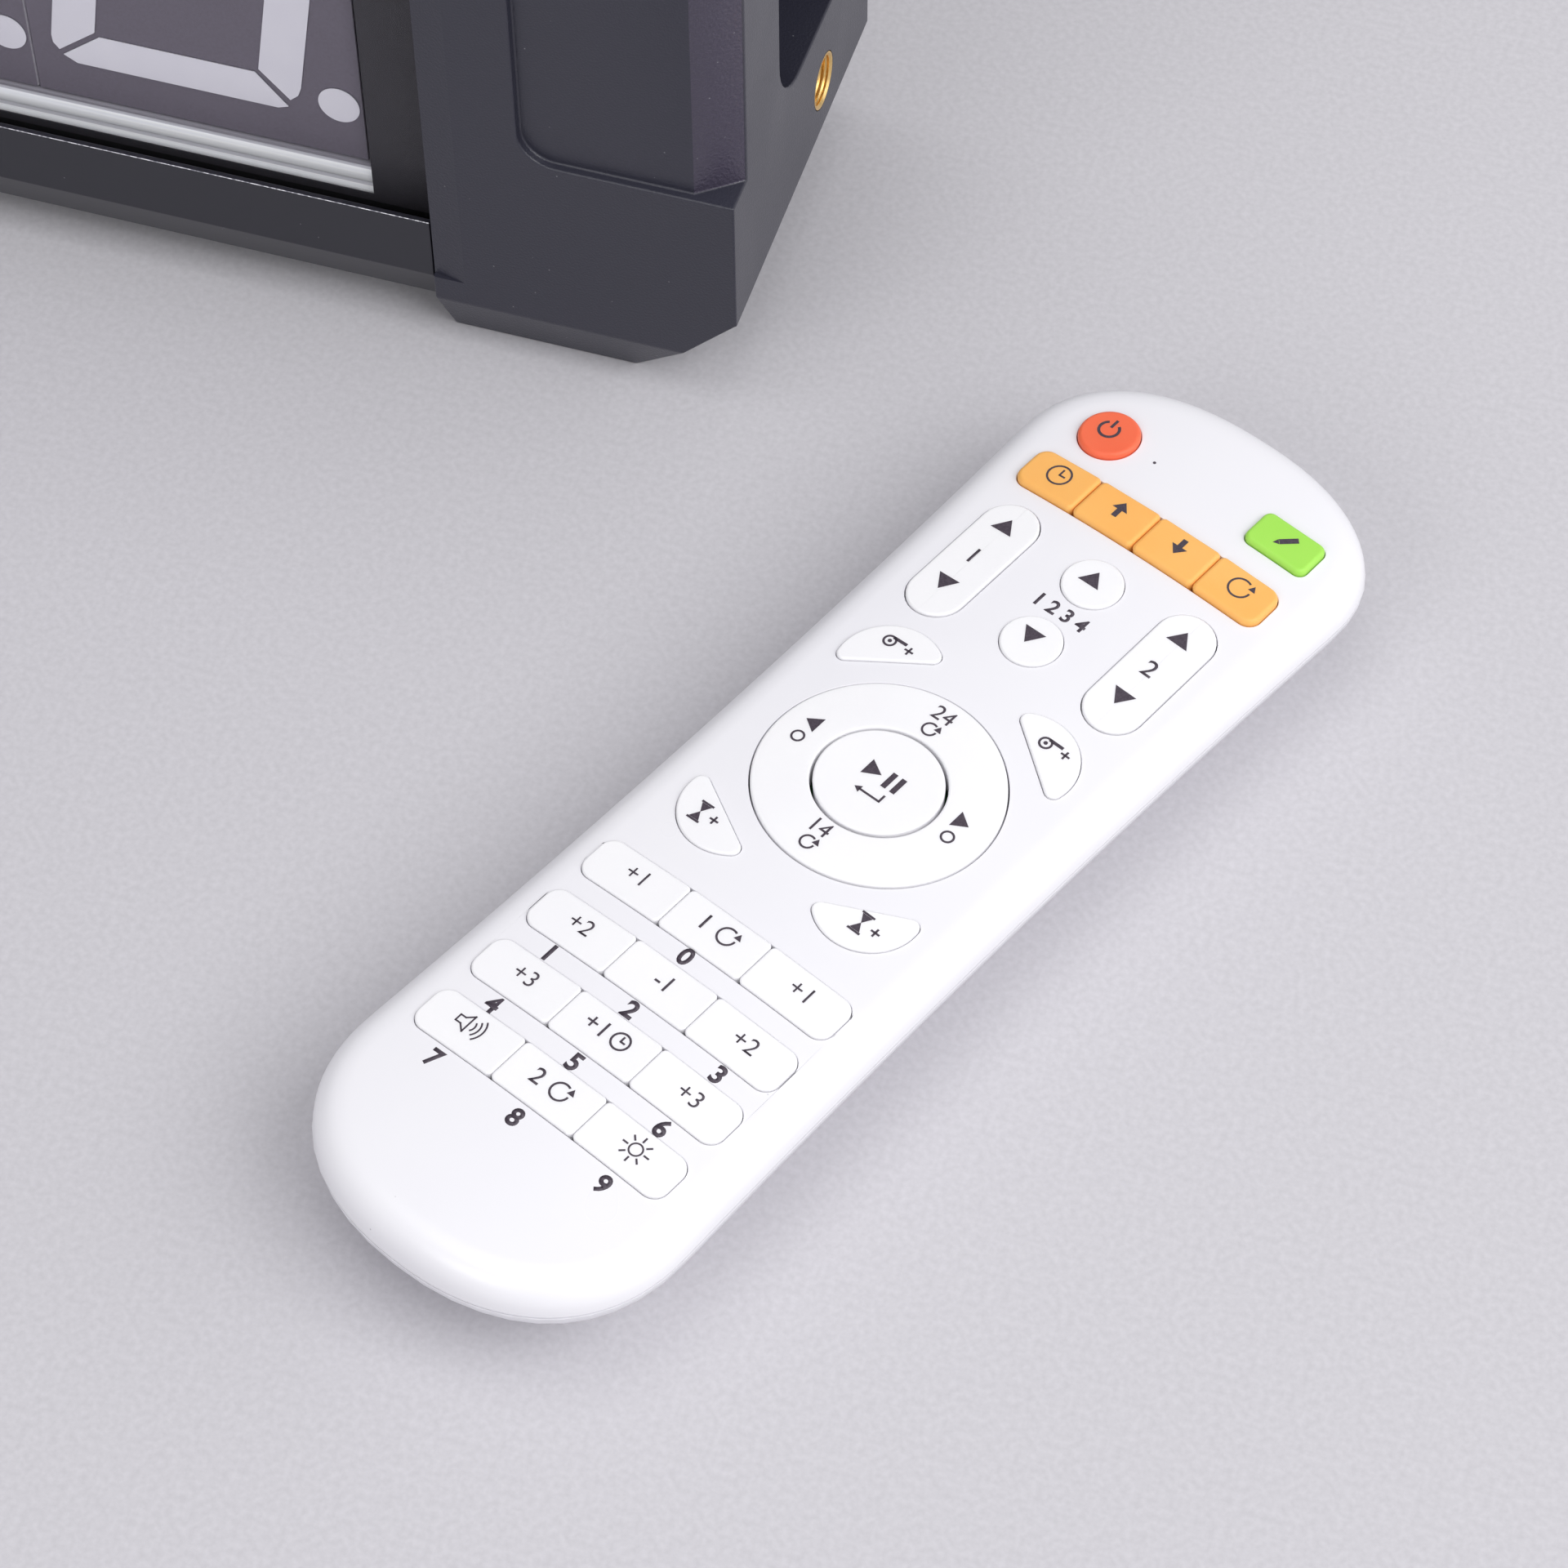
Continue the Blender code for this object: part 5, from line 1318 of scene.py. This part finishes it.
for outline, (x, y) in openings:
    cutter = flat_shape(outline, CUT_HEIGHT)
    cutter.data.transform(Matrix.Translation((x, y, CUT_FOOT)))
    cutters.append(cutter)
cut(shell, join(cutters))
merge_points(shell, NEAR_POINTS)
round_edges(shell, HOLE_EDGE_RADIUS, judge_rim, 3)
weigh_normals(shell)
coat(shell, white_abs)


# Digits on the shell
# Plain bold numbers, pad printed in dark ink under and beside the keys, and the pilot light's
# small dark window.

INK_RISE = 0.02
INK_DEPTH = 0.06
CAPITAL = 0.70             # a capital's share of the font's size
PILOT_SPOT = (-6.8, TOP_ROW_Y)
DIGIT_HEIGHT = 2.45
DIGIT_SPOTS = (
    (0, -0.5, -34.7), (1, -13.3, -44.6), (2, -0.3, -44.6), (3, 13.4, -44.6), (4, -13.3, -54.4),
    (5, -0.3, -54.4), (6, 13.4, -54.4), (7, -13.3, -64.5), (8, -0.3, -64.5), (9, 13.4, -64.5),
)

ink = mottled("dark_pad_printing_ink", "463D48", ("3F3641", "4F4651"), 0.25 * MM, low=0.35,
              roughness=0.45)


def ink_text(body, x, y, height, bold=0.0, spread=1.0):
    """Printed characters, centred on a point, as flat mesh."""
    bpy.ops.object.select_all(action="DESELECT")
    bpy.ops.object.text_add()
    obj = bpy.context.object
    obj.data.body = body
    obj.data.size = height / CAPITAL
    obj.data.offset = bold
    obj.data.space_character = spread
    obj.data.align_x = obj.data.align_y = "CENTER"
    obj.data.resolution_u = 4
    bpy.ops.object.convert(target="MESH")
    obj = bpy.context.object
    corners = [vert.co for vert in obj.data.vertices]
    middle_x = (min(c.x for c in corners) + max(c.x for c in corners)) / 2
    middle_y = (min(c.y for c in corners) + max(c.y for c in corners)) / 2
    obj.data.transform(Matrix.Translation((x - middle_x, y - middle_y, 0.0)))
    return obj


def print_on(marks, surface):
    """Lay flat marks on a surface, given by its height at each X, and thicken the ink."""
    sheet = join(marks)
    for vert in sheet.data.vertices:
        vert.co.z = surface(vert.co.x) + INK_RISE
    merge_points(sheet, 0.001)
    thicken(sheet, INK_DEPTH)
    sheet.data.materials.clear()
    coat(sheet, ink)
    return sheet


numbers = [ink_text(str(number), x, y, DIGIT_HEIGHT, 0.11) for number, x, y in DIGIT_SPOTS]
numbers.append(ink_text("1234", 0.0, 35.4, 2.1, 0.07, 1.5))
numbers.append(flat_shape(circle_points(0.22, 20, *PILOT_SPOT)))
settle(join([shell, print_on(numbers, crown)]), "remote_upper_shell", remote_place, "remote",
       "white_abs", "remote_top_shell")


# Keys
# Moulded silicone caps with a satin skin, white or dyed through, each with a soft edge and a
# top that follows the shell's arch. Plain signs and numbers are printed on them in dark ink.

WHITE_EDGE = 0.3
COLOUR_EDGE = 0.62
EDGE_STEPS = 4
STEEP = 1.0                # the sides meet the top at more than this angle, in radians
KEY_GROWTH = 0.12          # a key's top is wider than its foot by this much all round
ROCKING_GROWTH = 0.05      # less on the keys that rock, so that they clear the shell
TRIANGLE_WIDTH = 3.2
TRIANGLE_HEIGHT = 2.4


def silicone(name, colour, shade):
    """Satin silicone: a soft grain, light let in a little way, and a slightly uneven colour."""
    material, tree, shader, place = start_material(name, colour, 0.42, ior=1.43)
    shader.inputs["Subsurface Weight"].default_value = 0.3
    shader.inputs["Subsurface Radius"].default_value = (1.0, 1.0, 1.0)
    shader.inputs["Subsurface Scale"].default_value = 0.8 * MM
    add_grain(tree, shader, place, 12 * MM, shades=(colour, shade))
    add_grain(tree, shader, place, 0.35 * MM, relief=0.012 * MM)
    return material


white_rubber = silicone("white_silicone_rubber", "F9F8FB", "F6F5F9")
orange_rubber = silicone("orange_silicone_rubber", "FFBE6C", "FFB862")
red_rubber = silicone("red_silicone_rubber", "FA7450", "F66C48")
green_rubber = silicone("green_silicone_rubber", "A8E45C", "A2E056")


def triangle(x, y, turn=0.0, width=TRIANGLE_WIDTH, height=TRIANGLE_HEIGHT):
    """A triangle that points along +Y, turned by some degrees."""
    points = [(-width / 2, -height / 2), (width / 2, -height / 2), (0.0, height / 2)]
    return flat_shape(turned(points, turn, x, y))


def bar(x, y, length, width, turn=0.0):
    """A bar, turned by some degrees."""
    return flat_shape(turned(bar_points(length, width), turn, x, y))


def arc_band(x, y, radius, width, start, end):
    return flat_shape(arc_points(radius, width, start, end, x, y))


def ink_ring(x, y, radius, width):
    return arc_band(x, y, radius, width, 0.0, 359.0)


def dot(x, y, radius):
    return flat_shape(circle_points(radius, 24, x, y))


def stroke(corners, width):
    """Thin lines from corner to corner."""
    lines = []
    for (ax, ay), (bx, by) in zip(corners, corners[1:]):
        length = math.hypot(bx - ax, by - ay)
        turn = math.degrees(math.atan2(by - ay, bx - ax))
        lines.append(bar((ax + bx) / 2, (ay + by) / 2, length + width, width, turn))
    return lines


def turn_back(x, y, radius):
    """A circular arrow, the sign for starting again."""
    tip = math.radians(30.0)
    return [arc_band(x, y, radius, 0.28, 60.0, 360.0),
            triangle(x + radius * math.cos(tip), y + radius * math.sin(tip), 120.0, 1.1, 0.9)]


def clock_sign(x, y, radius):
    return [ink_ring(x, y, radius, 0.28), bar(x, y + radius * 0.3, 0.26, radius * 0.75),
            bar(x + radius * 0.25, y, radius * 0.6, 0.26)]


def whistle(x, y):
    return [ink_ring(x, y, 0.8, 0.3), bar(x + 1.15, y + 0.72, 2.1, 0.46), dot(x, y, 0.28)]


def hourglass(x, y):
    return [triangle(x, y - 0.62, 0.0, 1.5, 1.3), triangle(x, y + 0.62, 180.0, 1.5, 1.3),
            bar(x, y + 1.45, 1.9, 0.3), bar(x, y - 1.45, 1.9, 0.3)]


def plus(x, y):
    return [bar(x, y, 1.3, 0.28), bar(x, y, 0.28, 1.3)]


def power_sign(x, y):
    return [arc_band(x, y, 1.35, 0.4, 125.0, 415.0), bar(x, y + 1.15, 0.4, 1.5)]


def pencil(x, y):
    return [bar(x + 0.35, y + 0.35, 2.5, 0.8, 45.0), triangle(x - 0.85, y - 0.85, 135.0, 0.8, 0.8)]


def arrow(x, y, turn):
    head, foot = turned([(0.0, 0.65), (0.0, -0.7)], turn, x, y)
    return [triangle(*head, turn, 2.3, 1.4), bar(*foot, 0.75, 1.4, turn)]


def speaker(x, y):
    horn = [(-2.0, -0.5), (-1.2, -0.5), (-0.3, -1.3), (-0.3, 1.3), (-1.2, 0.5), (-2.0, 0.5),
            (-2.0, -0.5)]
    waves = [arc_band(x - 0.4, y, radius, 0.22, -42.0, 42.0) for radius in (1.0, 1.65, 2.3)]
    return stroke([(x + a, y + b) for a, b in horn], 0.22) + waves


def sun(x, y):
    turns = range(0, 360, 45)
    rays = [bar(*turned([(1.6, 0.0)], t, x, y)[0], 0.8, 0.24, t) for t in turns]
    return [ink_ring(x, y, 0.85, 0.22), *rays]


def up_and_down(number, top, low):
    """A number between an arrow up and an arrow down."""
    return [triangle(-0.3, top), ink_text(number, -0.3, 0.5, 2.6, 0.01), triangle(-0.3, low, 180.0)]


def make_key(outline, spot, proud, material, marks, growth=KEY_GROWTH):
    """Raise a key from its outline, round its edge, tilt its top with the shell and print it."""
    x, y = spot
    top, foot = outline(growth), outline(0.0)
    shape = flat_shape(top, KEY_BASE + proud)
    for vert in shape.data.vertices:
        if vert.co.z < 0.01:
            vert.co = (*foot[nearest(top, vert.co)], 0.0)
    shape.data.transform(Matrix.Translation((x, y, -KEY_BASE)))

    def judge_key(a, b, angle):
        """The top's edge is rounded, and the foot's stays sharp."""
        if angle < STEEP:
            return None
        return "round" if min(a.z, b.z) > proud - 0.01 else "crease" if max(a.z, b.z) < 0.0 else None

    width = COLOUR_EDGE if proud == COLOUR_PROUD else WHITE_EDGE
    round_edges(shape, width, judge_key, EDGE_STEPS)

    def rise(across):
        """The shell's arch under a key, taken as a plane that touches it at the key's middle."""
        return crown(x) - x / CROWN_RADIUS * (across - x)

    for vert in shape.data.vertices:
        if vert.co.z > -KEY_BASE + 0.01:
            vert.co.z += rise(vert.co.x)
    weigh_normals(shape)
    coat(shape, material)
    for mark in marks:
        mark.data.transform(Matrix.Translation((x, y, 0.0)))
    return join([shape, print_on(marks, lambda across: proud + rise(across))])


signs = {
    "key_power": lambda: power_sign(-0.4, 0.4),
    "key_edit": lambda: pencil(0.0, 0.0),
    "key_clock": lambda: clock_sign(0.0, 0.4, 1.6),
    "key_up": lambda: arrow(0.0, 0.6, 0.0),
    "key_down": lambda: arrow(0.0, 0.6, 180.0),
    "key_new_game": lambda: turn_back(0.0, 0.5, 1.5),
    "key_home_score": lambda: up_and_down("1", 7.0, -5.4),
    "key_guest_score": lambda: up_and_down("2", 6.9, -5.5),
    "key_period_up": lambda: [triangle(-0.4, 0.7)],
    "key_period_down": lambda: [triangle(-0.5, 0.4, 180.0)],
    "key_home_foul": lambda: whistle(-2.6, 3.5) + plus(0.4, 3.6),
    "key_guest_foul": lambda: whistle(0.6, 3.5) + plus(3.6, 3.6),
    "key_home_timeout": lambda: hourglass(-2.8, -2.9) + plus(-0.6, -2.9),
    "key_guest_timeout": lambda: hourglass(1.2, -2.9) + plus(3.4, -2.9),
    "key_timer_1_reset": lambda: [ink_text("1", -2.0, 0.6, 2.3, 0.01), *turn_back(1.4, 0.6, 1.25)],
    "key_timer_2_reset": lambda: [ink_text("2", -2.0, 0.4, 2.3, 0.01), *turn_back(1.4, 0.4, 1.25)],
    "key_minus_1": lambda: [ink_text("-1", 0.0, 0.5, 2.3)],
    "key_plus_1_second": lambda: [ink_text("+1", -1.8, 0.5, 2.3), *clock_sign(2.0, 0.5, 1.2)],
    "key_buzzer": lambda: speaker(0.0, 0.6),
    "key_brightness": lambda: sun(0.2, 0.4),
}
for word in ("home", "guest"):
    for k, level in enumerate((0.6, 0.5, 0.4), 1):
        signs[f"key_{word}_plus_{k}"] = lambda k=k, y=level: [ink_text(f"+{k}", 0.0, y, 2.3, -0.02)]
finishes = {"key_power": (red_rubber, "red_silicone"), "key_edit": (green_rubber, "green_silicone")}
for name in CLOCK_NAMES:
    finishes[name] = (orange_rubber, "orange_silicone")
for name, (outline, spot, proud) in keys.items():
    material, slot_name = finishes.get(name, (white_rubber, "white_silicone"))
    growth = ROCKING_GROWTH if name.endswith("_score") else KEY_GROWTH
    cap = make_key(outline, spot, proud, material, signs[name](), growth)
    settle(cap, name + "_cap", remote_place, name, slot_name, name)


# Ring key and start key
# The ring rocks four ways round the start key in its middle. Both are white silicone with the
# same soft edge.

START_RADII = (8.2, 7.73)
RING_INNER_ROOM = 0.5
RING_STEPS = 128
RING_CUTS = 6
WEB_GAP = 0.1              # the ring's foot stands this far over its web

start = make_key(lambda g: circle_points(START_RADII[0] + g, 96, radius_y=START_RADII[1] + g),
                 (0.0, 0.0), WHITE_PROUD, white_rubber,
                 [triangle(-1.5, 0.9, -90.0, 2.6, 2.3), bar(0.9, 0.9, 0.75, 2.6),
                  bar(2.3, 0.9, 0.75, 2.6), bar(0.4, -2.4, 3.2, 0.3), bar(2.0, -1.9, 0.3, 1.3),
                  triangle(-1.4, -2.4, 90.0, 1.1, 0.9)])
settle(start, "key_start_stop_cap", remote_place, "key_start_stop", "white_silicone",
       "key_start_stop")

hole = [radius + RING_INNER_ROOM for radius in START_RADII]
rows = []
for k in range(RING_CUTS + 1):
    wide, tall = [outer + (inner - outer) * k / RING_CUTS
                  for outer, inner in zip(RING_RADII, hole)]
    rows.append((circle_points(wide, RING_STEPS, radius_y=tall), 0.0))
ring = flat_shape(rows[0][0])
draw_in(ring, rows)
bpy.ops.object.mode_set(mode="EDIT")
pick_big_face(ring)
bpy.ops.mesh.delete(type="FACE")
thicken_sheet((0.0, 0.0, KEY_BASE - WEB_GAP + WHITE_PROUD))
ring.data.transform(Matrix.Translation((0.0, 0.0, -KEY_BASE + WEB_GAP)))


def judge_ring(a, b, angle):
    """The top's two edges are rounded, and the foot's stay sharp."""
    if angle < STEEP:
        return None
    return "round" if min(a.z, b.z) > WHITE_PROUD - 0.01 else "crease"


round_edges(ring, WHITE_EDGE, judge_ring, EDGE_STEPS)
for vert in ring.data.vertices:
    if vert.co.z > -KEY_BASE + 2 * WEB_GAP:
        vert.co.z += crown(vert.co.x)
weigh_normals(ring)
coat(ring, white_rubber)
marks = [ink_text("24", -0.5, 13.0, 2.2), *turn_back(-0.5, 10.2, 0.95),
         ink_text("14", -0.6, -9.9, 2.2), *turn_back(-0.6, -12.6, 0.95),
         triangle(-12.3, 1.9, 90.0, 2.6, 2.0), ink_ring(-12.3, -0.9, 0.8, 0.28),
         triangle(11.6, 1.9, -90.0, 2.6, 2.0), ink_ring(11.6, -0.9, 0.8, 0.28)]
settle(join([ring, print_on(marks, lambda x: WHITE_PROUD + crown(x))]), "key_ring_cap",
       remote_place, "key_ring", "white_silicone", "key_ring")
